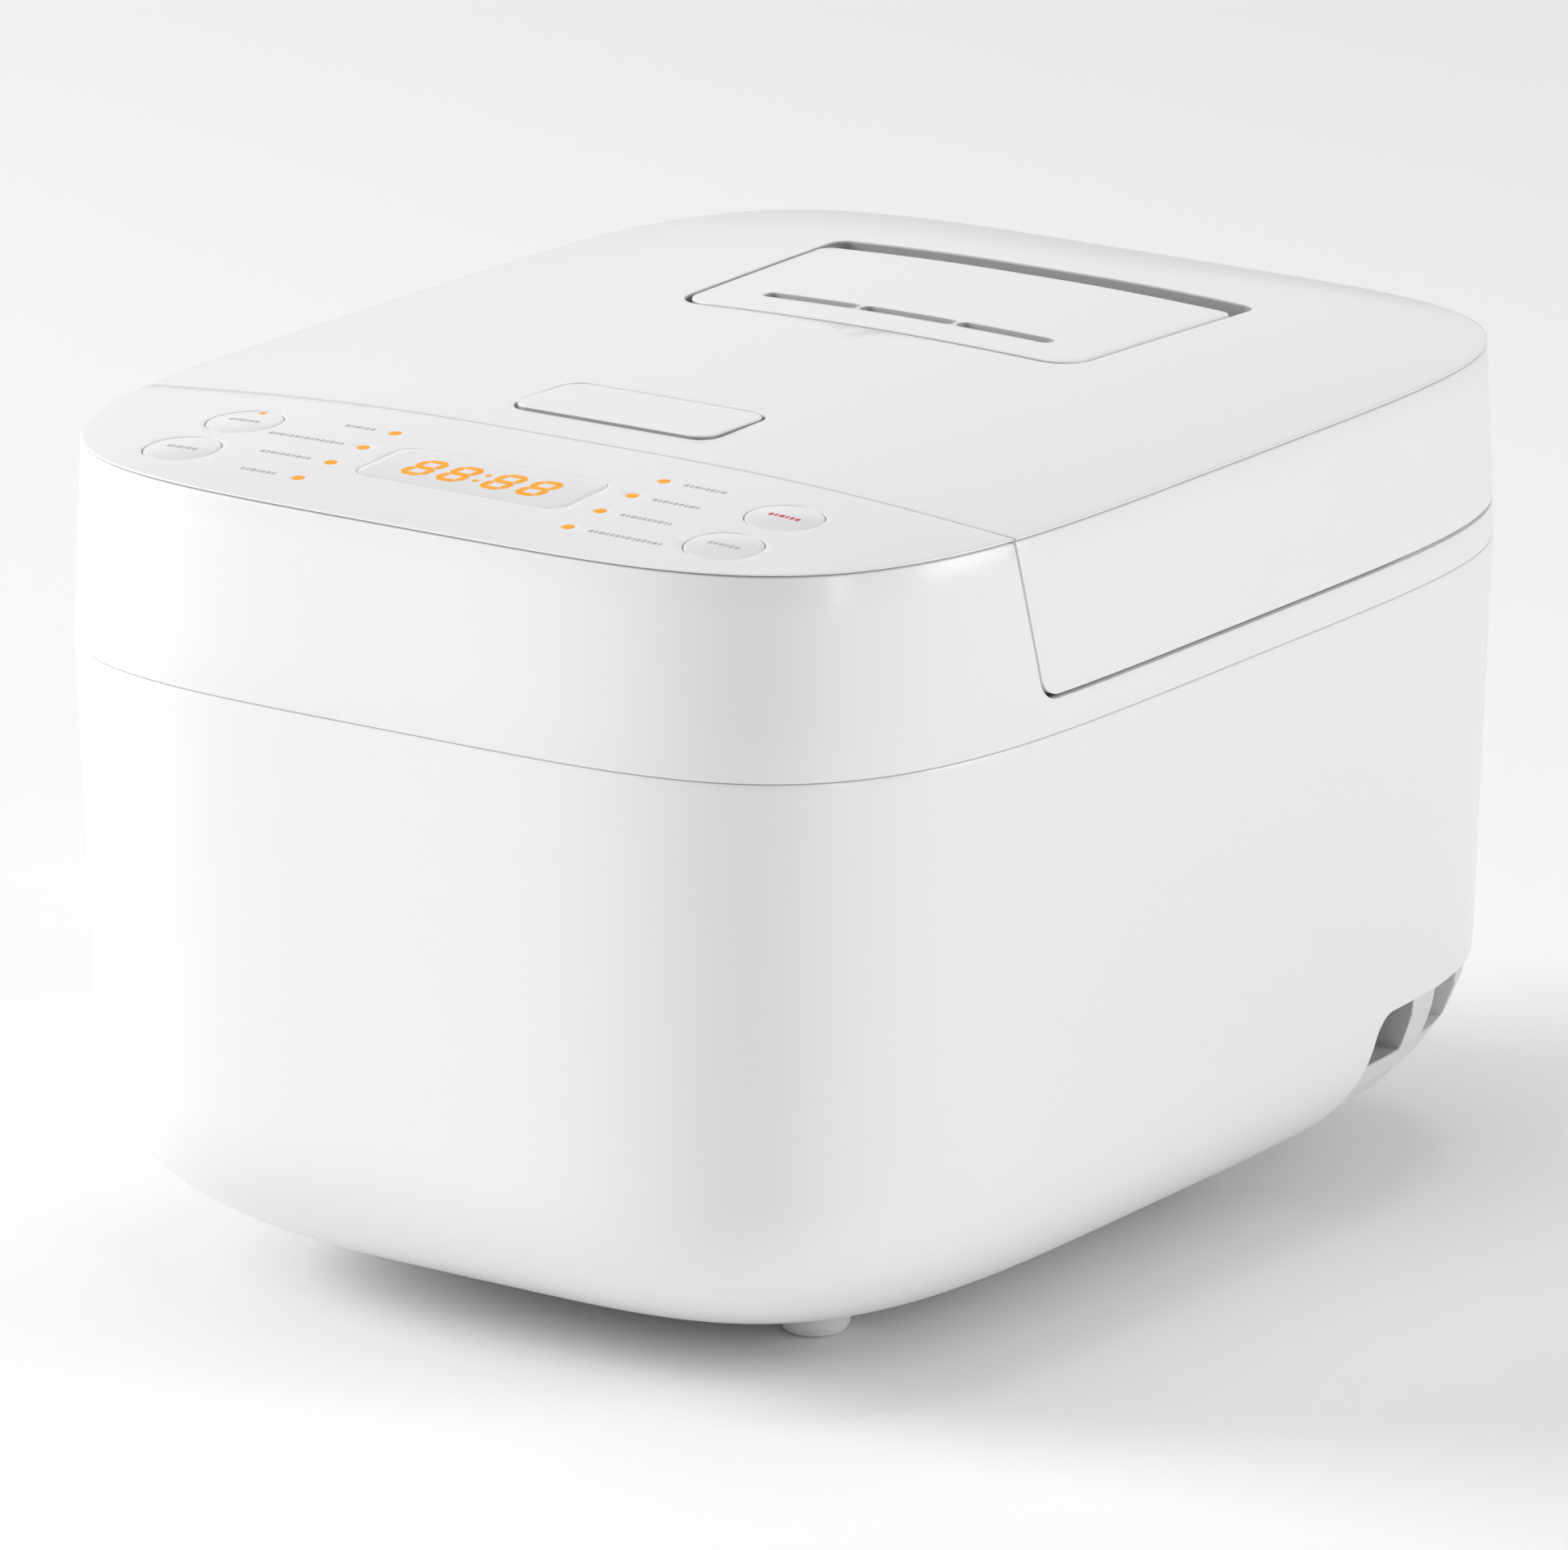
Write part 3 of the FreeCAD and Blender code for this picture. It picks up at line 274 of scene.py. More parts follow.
def from_rings(name, rings, closed):
    """Quads between successive rings; closed joins the last ring to the first, else both ends get a cap."""
    count = len(rings[0])
    points = np.concatenate(rings)
    steps = len(rings) if closed else len(rings) - 1
    faces = []
    for step in range(steps):
        low, high = step * count, (step + 1) % len(rings) * count
        for index in range(count):
            after = (index + 1) % count
            faces.append((low + index, low + after, high + after, high + index))
    if not closed:
        faces.append(tuple(range(count))[::-1])
        faces.append(tuple(range(len(points) - count, len(points))))
    piece = build(name, points, faces)
    outward(piece)
    return piece


def outward(piece):
    """Turns every face outward."""
    shape = bmesh.new()
    shape.from_mesh(piece.data)
    bmesh.ops.recalc_face_normals(shape, faces=shape.faces)
    shape.to_mesh(piece.data)
    shape.free()


def settle(piece):
    """Replaces a piece's mesh with what its modifiers make."""
    graph = bpy.context.evaluated_depsgraph_get()
    mesh = bpy.data.meshes.new_from_object(piece.evaluated_get(graph))
    piece.modifiers.clear()
    piece.data = mesh
    return piece


def combine(piece, tool, operation="DIFFERENCE"):
    """Cuts with, keeps inside, or adds a tool, which is then gone."""
    change = piece.modifiers.new("combine", "BOOLEAN")
    change.object = tool
    change.operation = operation
    change.solver = "EXACT"
    settle(piece)
    bpy.data.objects.remove(tool)
    return piece


def soften(piece, width=0.3, steps=2, angle=38.0):
    """Rounds the sharp edges a little, as a mould does."""
    change = piece.modifiers.new("soften", "BEVEL")
    change.width = width * MM
    change.segments = steps
    change.limit_method = "ANGLE"
    change.angle_limit = math.radians(angle)
    change.use_clamp_overlap = True
    change.miter_outer = "MITER_ARC"
    return settle(piece)


def dress(piece, body, slot, look=None, replaces=(), crease=30.0):
    """Gives a finished piece its shading, finish and body; the slot picks the finish when no look is given."""
    piece.data.shade_smooth()
    piece.data.set_sharp_from_angle(angle=math.radians(crease))
    piece.data.materials.clear()
    piece.data.materials.append(look or LOOKS[slot])
    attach(piece, body)
    if replaces:
        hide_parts(*replaces)
    return piece


def superellipse(half_x, front, rear, drift=0.0):
    """The casing's plan outline."""
    angle = math.pi / 2 + 2 * math.pi * np.arange(RING) / RING
    across, along = np.cos(angle), np.sin(angle)
    ahead = along < 0
    depth = np.where(ahead, front, rear)
    power = np.where(ahead, POWER_FRONT, POWER_REAR) - drift
    reach = (np.abs(across / half_x) ** power + np.abs(along / depth) ** power) ** (-1 / power)
    return np.stack([reach * across, reach * along], 1)


def at_height(plan, height):
    height = np.broadcast_to(height, (len(plan),))
    return np.concatenate([plan, np.asarray(height, float)[:, None]], 1)


def crown(points):
    """Height of the crowned top over plan points: its level lines are shrinking copies of the rim."""
    x, y = np.abs(points[:, 0]), points[:, 1]
    ahead = y < 0
    y = np.abs(y)
    power = np.where(ahead, POWER_FRONT, POWER_REAR)
    along = 1 / np.where(ahead, CROWN_FRONT, CROWN_REAR)
    low, high = np.full(len(x), 1e-9), np.ones(len(x))
    for _ in range(44):
        left = (low + high) / 2
        value = (x / (RIM_X * left ** (1 / CROWN_SIDE))) ** power + (y / (RIM_Y * left ** along)) ** power
        inside = value < 1
        high = np.where(inside, left, high)
        low = np.where(inside, low, left)
    return RIM + CROWN * (1 - (low + high) / 2)


def rounded(half_x, half_y, radius, centre=(0.0, 0.0), rear_radius=None, steps=10):
    """A rounded rectangle's outline, with its straight sides divided too."""
    rear_radius = radius if rear_radius is None else rear_radius
    points = []
    corners = [(1, 1, rear_radius), (-1, 1, rear_radius), (-1, -1, radius), (1, -1, radius)]
    for turn, (side_x, side_y, reach) in enumerate(corners):
        middle = np.array([side_x * (half_x - reach), side_y * (half_y - reach)])
        for step in range(steps + 1):
            angle = math.pi / 2 * (turn + step / steps)
            points.append(middle + reach * np.array([math.cos(angle), math.sin(angle)]))
    outline = []
    for index, point in enumerate(points):
        after = points[(index + 1) % len(points)]
        parts = STRAIGHT_PARTS if index % (steps + 1) == steps else 1
        outline += [point + (after - point) * part / parts for part in range(parts)]
    return np.array(outline) + np.array(centre)


def disc(radius, centre, count=72):
    angle = 2 * math.pi * np.arange(count) / count
    return np.stack([np.cos(angle), np.sin(angle)], 1) * radius + np.array(centre)


def patch(name, shape, surface, low, edge=0.4, inner=14):
    """A button-like piece: its top follows a surface, its edge is rounded and its sides go down.

    shape(inset) gives the outline, surface(points) the height of the top, and low the underside's height,
    or how far the underside lies below the surface when it is negative.
    """
    outline = shape(0.0)
    rings = [at_height(outline, surface(outline) + low if low < 0 else low)]
    for step in range(5):
        angle = math.pi / 2 * step / 4
        plan = shape(edge * (1 - math.cos(angle)))
        rings.append(at_height(plan, surface(plan) - edge * (1 - math.sin(angle))))
    plan = shape(edge)
    centre = plan.mean(0)
    for step in range(1, inner + 1):
        part = centre + (plan - centre) * (1 - 0.985 * step / inner)
        rings.append(at_height(part, surface(part)))
    return from_rings(name, rings, False)


def collar(name, outer, inner, low, surface, drop):
    """An upright wall between two outlines, from a height up to just under a surface."""
    rings = [at_height(outer, low), at_height(outer, surface(outer) - drop - 0.1)]
    middle = outer + (inner - outer) * 0.15
    rings.append(at_height(middle, surface(middle) - drop))
    middle = outer + (inner - outer) * 0.85
    rings.append(at_height(middle, surface(middle) - drop))
    rings += [at_height(inner, surface(inner) - drop - 0.1), at_height(inner, low)]
    return from_rings(name, rings, True)


def upright(name, plan, low, high):
    """A plain upright prism, used as a cutting tool."""
    return from_rings(name, [at_height(plan, low), at_height(plan, high)], False)


def pierce(piece, plan):
    """Cuts an outline right through the crowned top."""
    return combine(piece, upright("hole", plan, CUT_LOW, CUT_HIGH))


def side_outline(points, radius, steps=8):
    """A (y, z) polygon with its second corner rounded."""
    before, here, after = (np.array(points[index], float) for index in (0, 1, 2))
    back, ahead = before - here, after - here
    back, ahead = back / np.linalg.norm(back), ahead / np.linalg.norm(ahead)
    half = math.acos(float(np.clip(back @ ahead, -1, 1))) / 2
    middle = here + (back + ahead) / np.linalg.norm(back + ahead) * radius / math.sin(half)
    start, end = (here + way * radius / math.tan(half) - middle for way in (back, ahead))
    first, last = math.atan2(start[1], start[0]), math.atan2(end[1], end[0])
    last = first + (last - first + math.pi) % (2 * math.pi) - math.pi
    turn = [first + (last - first) * step / steps for step in range(steps + 1)]
    arc = [middle + radius * np.array([math.cos(a), math.sin(a)]) for a in turn]
    return np.array([points[0], *arc, *points[2:]])


def side_prism(name, outline, low_x, high_x):
    """A prism along X over a (y, z) outline."""
    rings = []
    for x in (low_x, high_x):
        rings.append(np.column_stack([np.full(len(outline), x), outline]))
    return from_rings(name, rings, False)


def brick(name, low, high):
    plan = np.array([(low[0], low[1]), (high[0], low[1]), (high[0], high[1]), (low[0], high[1])])
    return upright(name, plan, low[2], high[2])


def between(piece, near, far):
    """Keeps the stretch of a part of the top that lies between two depths."""
    return combine(piece, brick("range", (-FAR, near, CUT_LOW), (FAR, far, CUT_HIGH)), "INTERSECT")


def joined(name, pieces):
    """Several loose pieces as one object."""
    points, faces = [], []
    for piece in pieces:
        start = len(points)
        points += [vertex.co / MM for vertex in piece.data.vertices]
        faces += [tuple(start + index for index in face.vertices) for face in piece.data.polygons]
        bpy.data.objects.remove(piece)
    return build(name, points, faces)


# ---------------------------------------------------------------- casing


def lower_section(height, pull):
    """The lower casing's outline at a height, drawn in by some way."""
    below = SEAM - height
    half_x = HALF_X - DRAFT_SIDE * below - pull
    half_y = HALF_Y - DRAFT_END * below - pull
    drift = POWER_DRIFT * below / (SEAM - FOOT_HEIGHT)
    return at_height(superellipse(half_x, half_y, half_y, drift), height)


def curve_point(angle):
    """Drop and inset along the rounded bottom, from its upper end at 0."""
    power = 2 / CURVE_POWER
    return CURVE_HEIGHT * math.sin(angle) ** power, CURVE_INSET * (1 - math.cos(angle) ** power)


def lower_shell():
    bend = FOOT_HEIGHT + CURVE_HEIGHT
    last = math.asin(((bend - SHELL_LOW) / CURVE_HEIGHT) ** (CURVE_POWER / 2))
    rings = []
    for step in range(29):
        drop, pull = curve_point(last * (28 - step) / 28)
        rings.append(lower_section(bend - drop, pull))
    for share in (0.12, 0.3, 0.5, 0.7, 0.9, 0.98):
        rings.append(lower_section(bend + (SEAM - bend) * share, 0.0))
    for below, pull in ((0.45, 0.0), (0.15, 0.12), (0.0, 0.45), (0.0, WALL - 0.3), (0.3, WALL)):
        rings.append(lower_section(SEAM - below, pull))
    for share in (0.6, 0.2, 0.0):
        rings.append(lower_section(bend + WALL + (SEAM - bend) * share, WALL))
    for step in range(1, 13):
        drop, pull = curve_point(last * step / 12)
        rings.append(lower_section(bend + WALL - drop, pull + WALL))
    shell = from_rings("lower_shell", rings, True)
    combine(shell, notch_space())
    return dress(shell, "housing", "shell_white", replaces=["outer_shell"])


def notch_space():
    """The shell's cut-out at the mains inlet."""
    corners = [(NOTCH_FRONT, 0.0), (NOTCH_FRONT, NOTCH_TOP), (FAR, NOTCH_TOP), (FAR, 0.0)]
    return side_prism("notch", side_outline(corners, NOTCH_CORNER), NOTCH_SIDE, FAR)


def upper_section(height, inset):
    share = (height - UPPER_LOW) / (RIM - UPPER_LOW)
    half_x = HALF_X + (RIM_X - HALF_X) * share - inset
    half_y = HALF_Y + (RIM_Y - HALF_Y) * share - inset
    return at_height(superellipse(half_x, half_y, half_y), height)


def upper_band(name):
    """The full ring of the upper wall, before the lid and the housing part."""
    low, high = UPPER_LOW, WALL_HIGH
    profile = [(low, 0.45), (low + 0.12, 0.12), (low + 0.45, 0.0), (low + 12, 0.0), (low + 24, 0.0),
               (low + 36, 0.0), (high - 0.5, 0.0), (high - 0.15, 0.15), (high, 0.5), (high, WALL - 0.3),
               (high - 0.3, WALL), (low + 30, WALL), (low + 15, WALL), (low + 0.3, WALL), (low, WALL - 0.3)]
    return from_rings(name, [upper_section(*point) for point in profile], True)


def seam_at(height, gap=0.0):
    return PANEL_SEAM + SEAM_SLANT * (RIM - height) + gap


def lid_space(gap, floor):
    """Everything behind the slanted seam and above a floor."""
    far, top = 220.0, 230.0
    corners = [(seam_at(top, gap), top), (seam_at(floor, gap), floor), (far, floor), (far, top)]
    return side_prism("lid_space", side_outline(corners, SEAM_CORNER), -far, far)


def hull_core(name, inset, low, high):
    return from_rings(name, [upper_section(low, inset), upper_section(high, inset)], False)


def slanted_wall(name, near, far, low, high, inset):
    """An upright wall along the slanted seam, inside the casing."""
    outline = np.array([(seam_at(high, near), high), (seam_at(low, near), low), (seam_at(low, far), low),
                        (seam_at(high, far), high)])
    wall = side_prism(name, outline, -FAR, FAR)
    return combine(wall, hull_core("core", inset, low - 1, high + 1), "INTERSECT")


def latch_slot(grow):
    """The way for the latch's tooth, through the lid's front wall and the bulkhead."""
    half, low, high = 9.0, 172.5, 176.5
    return brick("slot", (-half - grow, -95, low - grow), (half + grow, -60, high + grow))


def hinge_room():
    """The room left in the lid round the hinge block."""
    radius, half, far, floor = 15.2, 49.0, 220.0, 120.0
    turn = [math.pi * step / 32 for step in range(33)]
    outline = [(HINGE.y + radius * math.cos(a), HINGE.z + radius * math.sin(a)) for a in turn]
    outline = [(far, floor), (far, HINGE.z), *outline, (HINGE.y - radius, floor)]
    return side_prism("hinge_room", np.array(outline), -half, half)


def upper_housing():
    sweep_radius, bulkhead_thick, inside = 18.3, 2.2, WALL + 0.05
    band = combine(upper_band("housing_wall"), lid_space(-LID_GAP, RING_TOP))
    sweep = disc(sweep_radius, (HINGE.y, HINGE.z), 96)
    combine(band, side_prism("sweep", sweep, -FAR, FAR))
    dress(soften(band, 0.3), "housing", "shell_white", replaces=["upper_housing"])
    near, far, ledge_top = -LID_GAP - bulkhead_thick, -LID_GAP, RING_TOP - 0.4
    bulkhead = slanted_wall("panel_bulkhead", near, far, ledge_top, WALL_HIGH - 1, inside)
    dress(soften(combine(bulkhead, latch_slot(1.0)), 0.3), "housing", "shell_white")
    ledge_deep, ledge_low, mouth_radius, front = 18.0, 147.0, 100.0, seam_at(RING_TOP)
    shelf = brick("front_ledge", (-FAR, front - ledge_deep, ledge_low), (FAR, front, ledge_top))
    combine(shelf, hull_core("core", inside, ledge_low - 7, ledge_low + 13), "INTERSECT")
    combine(shelf, upright("mouth", disc(mouth_radius, POT_CENTRE, 128), 100, FAR))
    dress(soften(shelf, 0.3), "housing", "deck_grey")


def lid_skirt():
    skirt = combine(upper_band("lid_wall"), lid_space(0.0, LID_LOW), "INTERSECT")
    combine(skirt, hinge_room())
    dress(soften(skirt, 0.35), "lid", "shell_white", replaces=["lid_skirt"])
    front = slanted_wall("lid_front_wall", 0.0, 2.0, LID_LOW + 4.5, WALL_HIGH - 1, WALL + 0.05)
    dress(soften(combine(front, latch_slot(0.5)), 0.3), "lid", "shell_white")


# ---------------------------------------------------------------- crowned top


def crown_ring(share, inset=0.0, drop=0.0):
    """A level line of the crown; share runs from 1 at the rim to 0 at the summit."""
    half_x = (RIM_X - inset) * share ** (2 / CROWN_SIDE)
    front = (RIM_Y - inset) * share ** (2 / CROWN_FRONT)
    rear = (RIM_Y - inset) * share ** (2 / CROWN_REAR)
    return at_height(superellipse(half_x, front, rear), RIM + CROWN * (1 - share ** 2) - drop)


def rim_outline(inset):
    return superellipse(RIM_X - inset, RIM_Y - inset, RIM_Y - inset)


def cap_plate(name):
    """The whole crowned plate, before it parts into panel and lid."""
    thick = 2.2
    shares = np.concatenate([np.linspace(0.03, 0.9, 46), np.linspace(0.915, 0.995, 10)])
    rings = [crown_ring(share) for share in shares]
    for inset, below in ((0.22, 0.02), (0.06, 0.08), (0.0, 0.24)):
        rings.append(at_height(rim_outline(inset), RIM - below))
    for inset, above in ((0.0, 0.02), (0.1, 0.0)):
        rings.append(at_height(rim_outline(inset), CAP_LOW + above))
    level = (CAP_LOW - RIM + thick) / CROWN
    under = np.linspace(math.sqrt(1 - level), 0.03, 24)
    rings += [crown_ring(share, thick, thick) for share in under]
    return from_rings(name, rings, False)


def lip(name, low_y, high_y):
    """The locating lip under a cap plate."""
    low, top, outside, inside = WALL_HIGH - 3, CAP_LOW + 0.3, WALL + 0.3, WALL + 1.8
    profile = ((low, outside), (top, outside), (top, inside), (low, inside))
    ring = from_rings(name, [upper_section(*point) for point in profile], True)
    return between(ring, low_y, high_y)


KEYS = {"menu": (-72.3, -105.5), "timer": (-72.3, -128.0), "start": (72.3, -105.5), "cancel": (72.3, -128.0)}
KEY_RADIUS = 8.7
LAMP_X, LAMP_RADIUS = 36.0, 1.5
LAMP_ROWS = [-98.8 - 11.73 * row for row in range(4)]
WINDOW = (28.0, 10.5, 4.5, (0.0, -116.0))       # half width, half depth, corner radius, middle
VENT_HALF, VENT_SPREAD, VENT_GAP = 54.2, 0.05, 0.9
VENT_FRONT, VENT_REAR = 31.2, 103.5
CAP_FRONT, CAP_REAR = 33.2, 95.5
RIM_BAND = 0.3                  # width of the vent well's rim left in view round the cap, grey as painted shade
RELEASE = (26.5, 12.1, 4.6, (0.0, -57.5))       # likewise
RELEASE_GAP = 0.9


def placed(sizes, inset):
    half_x, half_y, radius, centre = sizes
    return rounded(half_x - inset, half_y - inset, radius - inset, centre)


def window_shape(inset=0.0):
    return placed(WINDOW, inset)


def release_shape(inset=0.0):
    return placed(RELEASE, inset)


def spread_shape(front, rear, inset, front_corner, rear_corner):
    """The vent's plan: a rounded outline whose sides spread towards the rear."""
    half, middle = VENT_HALF - inset, (front + rear) / 2
    near = half + VENT_SPREAD * (front - VENT_FRONT)
    far = half + VENT_SPREAD * (rear - VENT_FRONT)
    mean = (near + far) / 2
    plan = rounded(mean, (rear - front) / 2, front_corner, (0.0, middle), rear_corner)
    plan[:, 0] *= 1 + VENT_SPREAD * (plan[:, 1] - middle) / mean
    return plan


def vent_pocket_shape(inset=0.0):
    return spread_shape(VENT_FRONT + inset, VENT_REAR - inset, inset, 8.0 - inset, 4.0 - inset)


def vent_cap_shape(inset=0.0):
    return spread_shape(CAP_FRONT + inset, CAP_REAR - inset, inset + VENT_GAP, 7.1 - inset, 3.1 - inset)


def panel():
    """The control panel's plate, and a grey strip of painted shade lying in its seam with the lid."""
    plate = between(cap_plate("control_panel"), -FAR, PANEL_SEAM - SEAM_HALF)
    for centre in KEYS.values():
        pierce(plate, disc(KEY_RADIUS + 0.22, centre))
    for side in (-1, 1):
        for row in LAMP_ROWS:
            pierce(plate, disc(LAMP_RADIUS, (side * LAMP_X, row), 32))
    pierce(plate, window_shape(-0.15))
    dress(soften(plate, 0.16), "housing", "top_white", replaces=["fascia"])
    dress(lip("panel_lip", -FAR, -100), "housing", "top_white")
    # Painted shade: a grey strip sunk just under the top, filling the seam so that it reads as a shadowed gap.
    strip = between(cap_plate("seam_painted_shade_strip"), PANEL_SEAM - 2 * SEAM_HALF, PANEL_SEAM + SEAM_HALF - 0.05)
    for vertex in strip.data.vertices:
        vertex.co.z -= 0.22 * MM
    dress(strip, "housing", "top_white", PAINTED_SHADE_GREY)


def lid_cap():
    plate = between(cap_plate("lid_cap"), PANEL_SEAM + SEAM_HALF, FAR)
    pierce(plate, vent_pocket_shape(-RIM_BAND))
    pierce(plate, release_shape(-RELEASE_GAP))
    dress(soften(plate, 0.3), "lid", "top_white", replaces=["lid_top"])
    hinge_half = 64.0
    edge = lip("lid_lip", -60, FAR)
    combine(edge, brick("gap", (-hinge_half, 60, 100), (hinge_half, FAR, CUT_HIGH)))
    dress(edge, "lid", "top_white")
    vent_pocket()
    knuckles()


def vent_pocket():
    """The well under the steam vent, with a hole in its floor for the steam; the whole well is grey painted shade.
    """
    floor, wall, steam_radius, steam_place = 177.0, 1.8, 9.2, (0.0, 62.0)
    inner, edge, outer = vent_pocket_shape(), vent_pocket_shape(-RIM_BAND + 0.05), vent_pocket_shape(-wall)
    centre = np.array([0.0, (VENT_FRONT + VENT_REAR) / 2])
    rings = [at_height(centre + (inner - centre) * share, floor) for share in (0.02, 0.5, 0.96)]
    rings.append(at_height(vent_pocket_shape(0.8), floor + 0.1))
    rings.append(at_height(vent_pocket_shape(0.25), floor + 0.45))
    rings.append(at_height(inner, floor + 1.2))
    rings.append(at_height(inner, crown(inner) - 0.45))
    rings.append(at_height(vent_pocket_shape(-0.1), crown(inner) - 0.3))
    rings.append(at_height(edge, crown(edge) - 0.2))
    rings.append(at_height(edge, crown(edge) - 2.5))
    rings.append(at_height(outer, crown(outer) - 2.6))
    rings += [at_height(outer, floor - 2), at_height(centre + (outer - centre) * 0.02, floor - 2)]
    pocket = from_rings("vent_pocket", rings, False)
    combine(pocket, upright("hole", disc(steam_radius, steam_place, 64), CUT_LOW, floor + 5))
    # Painted shade: the well is grey to stand for the shade inside it.
    dress(pocket, "lid", "top_white", PAINTED_SHADE_GREY)


def knuckles():
    """The lid's two hinge knuckles, with the webs that hang them from the cap."""
    near, far, radius, bore, top = 49.5, 59.0, 5.5, 2.06, WALL_HIGH - 0.2
    found = []
    for side in (-1, 1):
        low, high = sorted((side * near, side * far))
        turn = [math.pi * (1 + step / 24) for step in range(25)]
        outline = [(HINGE.y + radius * math.cos(a), HINGE.z + radius * math.sin(a)) for a in turn]
        outline += [(HINGE.y + radius, top), (HINGE.y - radius, top)]
        web = side_prism(f"web_{side}", np.array(outline), low, high)
        combine(web, side_prism("bore", disc(bore, (HINGE.y, HINGE.z), 32), low - 1, high + 1))
        found.append(web)
    dress(soften(joined("lid_knuckles", found), 0.4), "lid", "top_white")


def slot_shape(x, grow=0.0):
    """One steam slot's outline."""
    return rounded(12.5 + grow, 1.8 + grow, 1.6 + grow, (x, 47.0), steps=6)


def vent_cap():
    """The vent's cover, with grey painted shade in its slots and round its own edges."""
    pitch = 26.5

    def surface(plan):
        return crown(plan) - 0.05

    cap = patch("vent_cap", vent_cap_shape, surface, -2.0, 0.4, 22)
    linings = []
    for x in (-pitch, 0.0, pitch):
        pierce(cap, slot_shape(x, 0.4))
        # Painted shade: grey linings just under the top inside each slot.
        linings.append(collar("slot_shade_lining", slot_shape(x, 0.38), slot_shape(x), 193.0, surface, 0.12))
    dress(soften(cap, 0.15), "vent", "top_white", replaces=["vent_cover"])
    dress(joined("vent_slot_linings", linings), "vent", "top_white", PAINTED_SHADE_GREY)
    # Painted shade: a grey skirt round the cap's sides, seen through its gap.
    skirt = collar("vent_cap_painted_shade_skirt", vent_cap_shape(0.15), vent_cap_shape(2.0), 186.0, surface, 1.9)
    dress(skirt, "vent", "top_white", PAINTED_SHADE_GREY)
    # Painted shade: a grey band just under the cap's rim, drawing its gap dark.
    edge = collar("vent_cap_painted_shade_edge", vent_cap_shape(-0.02), vent_cap_shape(0.5), 192.0, surface, 0.42)
    dress(edge, "vent", "top_white", PAINTED_SHADE_GREY)


def release_button():
    """The button, which stands a little proud at its front, over a skirt of grey painted shade."""
    rear_lift, front_lift, stem_radius = 0.12, 0.72, 3.5
    _, half_y, _, (_, middle) = RELEASE

    def surface(plan):
        forward = (middle + half_y - plan[:, 1]) / (2 * half_y)
        return crown(plan) + rear_lift + (front_lift - rear_lift) * forward

    button = patch("release_key", release_shape, surface, -2.2, 0.2, 18)
    dress(button, "release", "top_white", replaces=["release_button"])
    # Painted shade: a grey skirt under the button's edge, so that its gap and front wall read dark.
    skirt = collar("release_painted_shade_skirt", release_shape(-0.02), release_shape(1.8), 189.6, surface, 0.24)
    dress(skirt, "release", "top_white", PAINTED_SHADE_GREY)
    stem = upright("release_stem", disc(stem_radius, RELEASE[3], 48), 175.45, 194.0)
    dress(soften(stem, 0.5), "release", "top_white")


# ---------------------------------------------------------------- control panel


def dot(radius, centre, count):
    """An outline that shrinks about a centre, for patch()."""
    return lambda inset: disc(radius - inset, centre, count)


def keys():
    """Four domed keys with their legends, and the lamp on the first."""
    dome, lamp_radius, lamp_ahead = 0.28, 0.9, 6.5
    for name, centre in KEYS.items():
        middle = np.array(centre)

        def domed(plan, middle=middle):
            away = np.linalg.norm(plan - middle, axis=1) / KEY_RADIUS
            return crown(plan) + dome * (1 - away ** 2)

        key = patch(f"{name}_button", dot(KEY_RADIUS, centre, 96), domed, 187.4, 0.45)
        dress(key, name, "key_white", replaces=[f"{name}_key"])
        tone = PRINT_RED if name == "start" else PRINT_GREY
        marks(f"{name}_mark", centre, 8.0, 1.5, name, "key_white", tone, domed)
    x, y = KEYS["menu"]
    lamp = patch("menu_lamp", dot(lamp_radius, (x, y + lamp_ahead), 24), lambda plan: crown(plan) + 0.22,
                 194.0, 0.1, 4)
    dress(lamp, "menu", "lamp_amber")


def lamps_and_window():
    window = patch("window_lens", window_shape, lambda plan: crown(plan) - 0.02, 190.0, 0.18, 16)
    dress(window, "housing", "window_white", replaces=["display_window"])
    lenses = []
    for side in (-1, 1):
        for row in LAMP_ROWS:
            lens = dot(LAMP_RADIUS, (side * LAMP_X, row), 32)
            lenses.append(patch("lens", lens, lambda plan: crown(plan) + 0.05, 182.0, 0.2, 4))
    dress(joined("lamp_windows", lenses), "housing", "lamp_amber", replaces=["lamp_lenses"])


def plates(name, outlines, body, slot, look, surface, lift):
    """Thin printed or lit shapes lying on a surface."""
    points, faces = [], []
    for outline in outlines:
        outline = np.asarray(outline, float)
        start, count = len(points), len(outline)
        points += list(at_height(outline, surface(outline) - 0.05))
        points += list(at_height(outline, surface(outline) + lift))
        faces.append(tuple(start + index for index in range(count))[::-1])
        faces.append(tuple(start + count + index for index in range(count)))
        for index in range(count):
            after = (index + 1) % count
            faces.append((start + index, start + after, start + count + after, start + count + index))
    piece = build(name, points, faces)
    outward(piece)
    return dress(piece, body, slot, look, crease=50.0)


def marks(name, centre, length, height, body, slot, look, surface):
    """A generic legend: a short row of little bars."""
    widths, space, corner_radius = [1.0, 0.7, 1.2, 0.6, 0.9], 0.5, 0.25
    outlines = []
    x, step = -length / 2, 0
    while x < length / 2 - space:
        width = min(widths[step % len(widths)], length / 2 - x)
        place = (centre[0] + x + width / 2, centre[1])
        outlines.append(rounded(width / 2, height / 2, corner_radius, place, steps=3))
        x += width + space
        step += 1
    return plates(name, outlines, body, slot, look, surface, 0.03)


LEGENDS = {"left": (8.0, 20.0, 13.5, 10.0), "right": (11.0, 12.0, 13.0, 19.0)}
LEGEND_GAP = 5.5                # from a lamp's middle to its legend


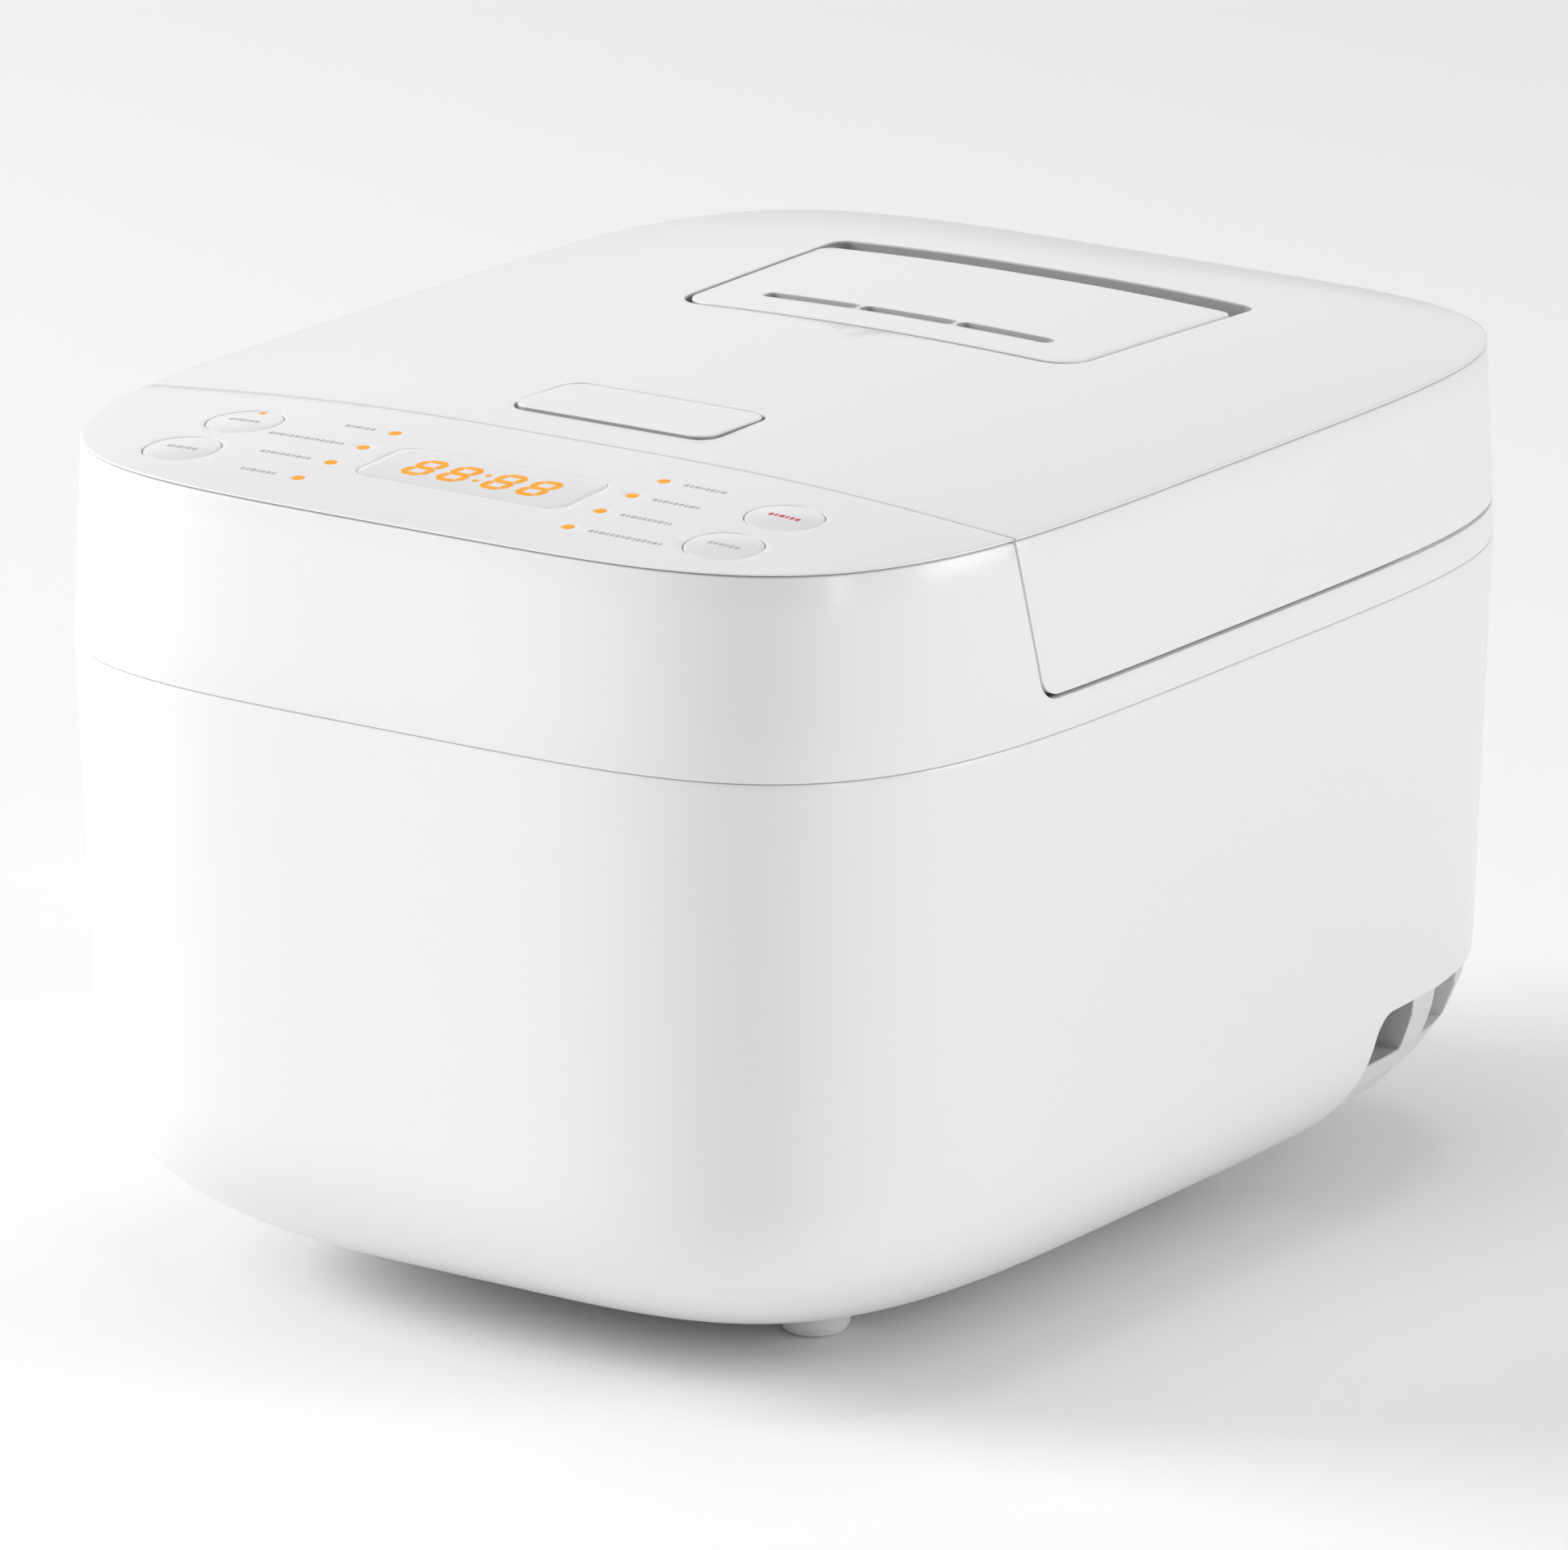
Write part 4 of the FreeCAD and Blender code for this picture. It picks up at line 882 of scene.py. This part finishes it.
def legends():
    for side, lengths in LEGENDS.items():
        way = -1 if side == "left" else 1
        for index, (row, length) in enumerate(zip(LAMP_ROWS, lengths)):
            centre = (way * (LAMP_X + LEGEND_GAP + length / 2), row)
            marks(f"legend_{side}_{index}", centre, length, 1.5, "housing", "top_white", PRINT_GREY, crown)


def digits():
    """Four figures and a colon, leaning as seven-segment figures do."""
    width, height, thick, lean, gap = 6.8, 10.6, 1.7, 0.14, 0.12
    near, far, colon_rise, colon_radius = 5.9, 15.3, 2.1, 0.75
    middle = WINDOW[3][1]
    outlines = []

    def segment(start, end, origin):
        start, end = np.array(start, float), np.array(end, float)
        way = (end - start) / np.linalg.norm(end - start)
        across = np.array([-way[1], way[0]]) * thick / 2
        tip = thick / 2 + gap
        shape = [start + way * gap, start + way * tip + across, end - way * tip + across, end - way * gap,
                 end - way * tip - across, start + way * tip - across]
        outlines.append([(p[0] + lean * p[1] + origin, p[1] + middle) for p in shape])

    half_w, half_h = (width - thick) / 2, (height - thick) / 2
    for origin in (-far, -near, near, far):
        for y in (-half_h, 0.0, half_h):
            segment((-half_w, y), (half_w, y), origin)
        for x in (-half_w, half_w):
            segment((x, -half_h), (x, 0), origin)
            segment((x, 0), (x, half_h), origin)
    for y in (-colon_rise, colon_rise):
        outlines.append(disc(colon_radius, (lean * y, middle + y), 20))
    plates("display_digits", outlines, "housing", "lamp_amber", LOOKS["lamp_amber"], crown, 0.04)


# ---------------------------------------------------------------- inlet


def inlet_lining(name, low, high, look):
    """A darker lining for a pocket in the inlet moulding, out to the moulding's surface; in the rear recess its
    grey is painted shade.
    """
    thick, margin, first, last = 0.35, 1.0, 34.0, 49.0
    lining = brick(name, low, high)
    inside = brick("inside", [value + thick for value in low], (FAR, high[1] - thick, high[2] - thick))
    combine(lining, inside)
    reach = []
    for height in np.linspace(first, last, 9):
        drop = FOOT_HEIGHT + CURVE_HEIGHT - height
        turn = math.asin((max(drop, 0.0) / CURVE_HEIGHT) ** (CURVE_POWER / 2))
        reach.append(lower_section(height, curve_point(turn)[1] + margin))
    combine(lining, from_rings("reach", reach, False), "INTERSECT")
    dress(lining, "housing", "socket_dark", look)


# ---------------------------------------------------------------- stage, light and camera


def area(name, place, target, width, height, power):
    light = bpy.data.lights.new(name, "AREA")
    light.shape = "RECTANGLE"
    light.size, light.size_y = width, height
    light.energy = power
    lamp = bpy.data.objects.new(name, light)
    lamp.location = place
    lamp.rotation_euler = (Vector(target) - Vector(place)).to_track_quat("-Z", "Y").to_euler()
    bpy.context.scene.collection.objects.link(lamp)


def studio():
    half = 9000.0
    corners = [(-half, -half, 0), (half, -half, 0), (half, half, 0), (-half, half, 0)]
    floor = build("floor", corners, [(0, 1, 2, 3)])
    floor.data.materials.append(moulded("pale_floor", (0.96, 0.96, 0.96), 0.7, 0.0, 30.0, 0.0, 0.004))
    world = bpy.data.worlds.new("studio")
    world.use_nodes = True
    background = world.node_tree.nodes["Background"]
    background.inputs["Color"].default_value = (1, 1, 1, 1)
    background.inputs["Strength"].default_value = 0.34
    bpy.context.scene.world = world
    centre = (0.0, 0.0, 0.1)
    area("key_left", (-2.75, -1.35, 1.3), centre, 1.6, 1.6, 96)
    area("side_right", (2.7, 1.2, 1.0), centre, 1.2, 1.6, 28)
    area("strip_right", (1.9, -0.85, 0.82), centre, 0.3, 1.6, 6)
    area("top_soft", (0.1, 0.1, 2.8), centre, 1.4, 1.4, 16)
    area("back_panel", (-1.75, 2.5, 0.95), centre, 2.4, 0.9, 5)
    bpy.context.scene.view_settings.view_transform = "Standard"
    bpy.context.scene.view_settings.look = "None"


def camera():
    lens = bpy.data.cameras.new("camera")
    lens.sensor_fit = "AUTO"
    lens.sensor_width = 36.0
    lens.lens = 278.4
    lens.clip_end = 50.0
    eye = bpy.data.objects.new("camera", lens)
    eye.location = (1.50107, -2.15435, 0.85744)
    eye.rotation_mode = "QUATERNION"
    back = Vector((0.54967, -0.78813, 0.27696))
    eye.rotation_quaternion = (-back).to_track_quat("-Z", "Y")
    bpy.context.scene.collection.objects.link(eye)
    bpy.context.scene.camera = eye


camera()
studio()
lower_shell()
upper_housing()
lid_skirt()
panel()
lid_cap()
vent_cap()
release_button()
keys()
lamps_and_window()
legends()
digits()
inlet_lining("socket_lining", (89.55, 63.25, 35.05), (125.0, 80.95, 48.15), SOCKET_GREY)
# The rear recess's lining is painted shade: grey where the white moulding would only be shaded.
inlet_lining("recess_painted_shade_lining", (96.05, 92.05, 35.55), (125.0, 106.95, 47.55), POCKET_PAINTED_SHADE)
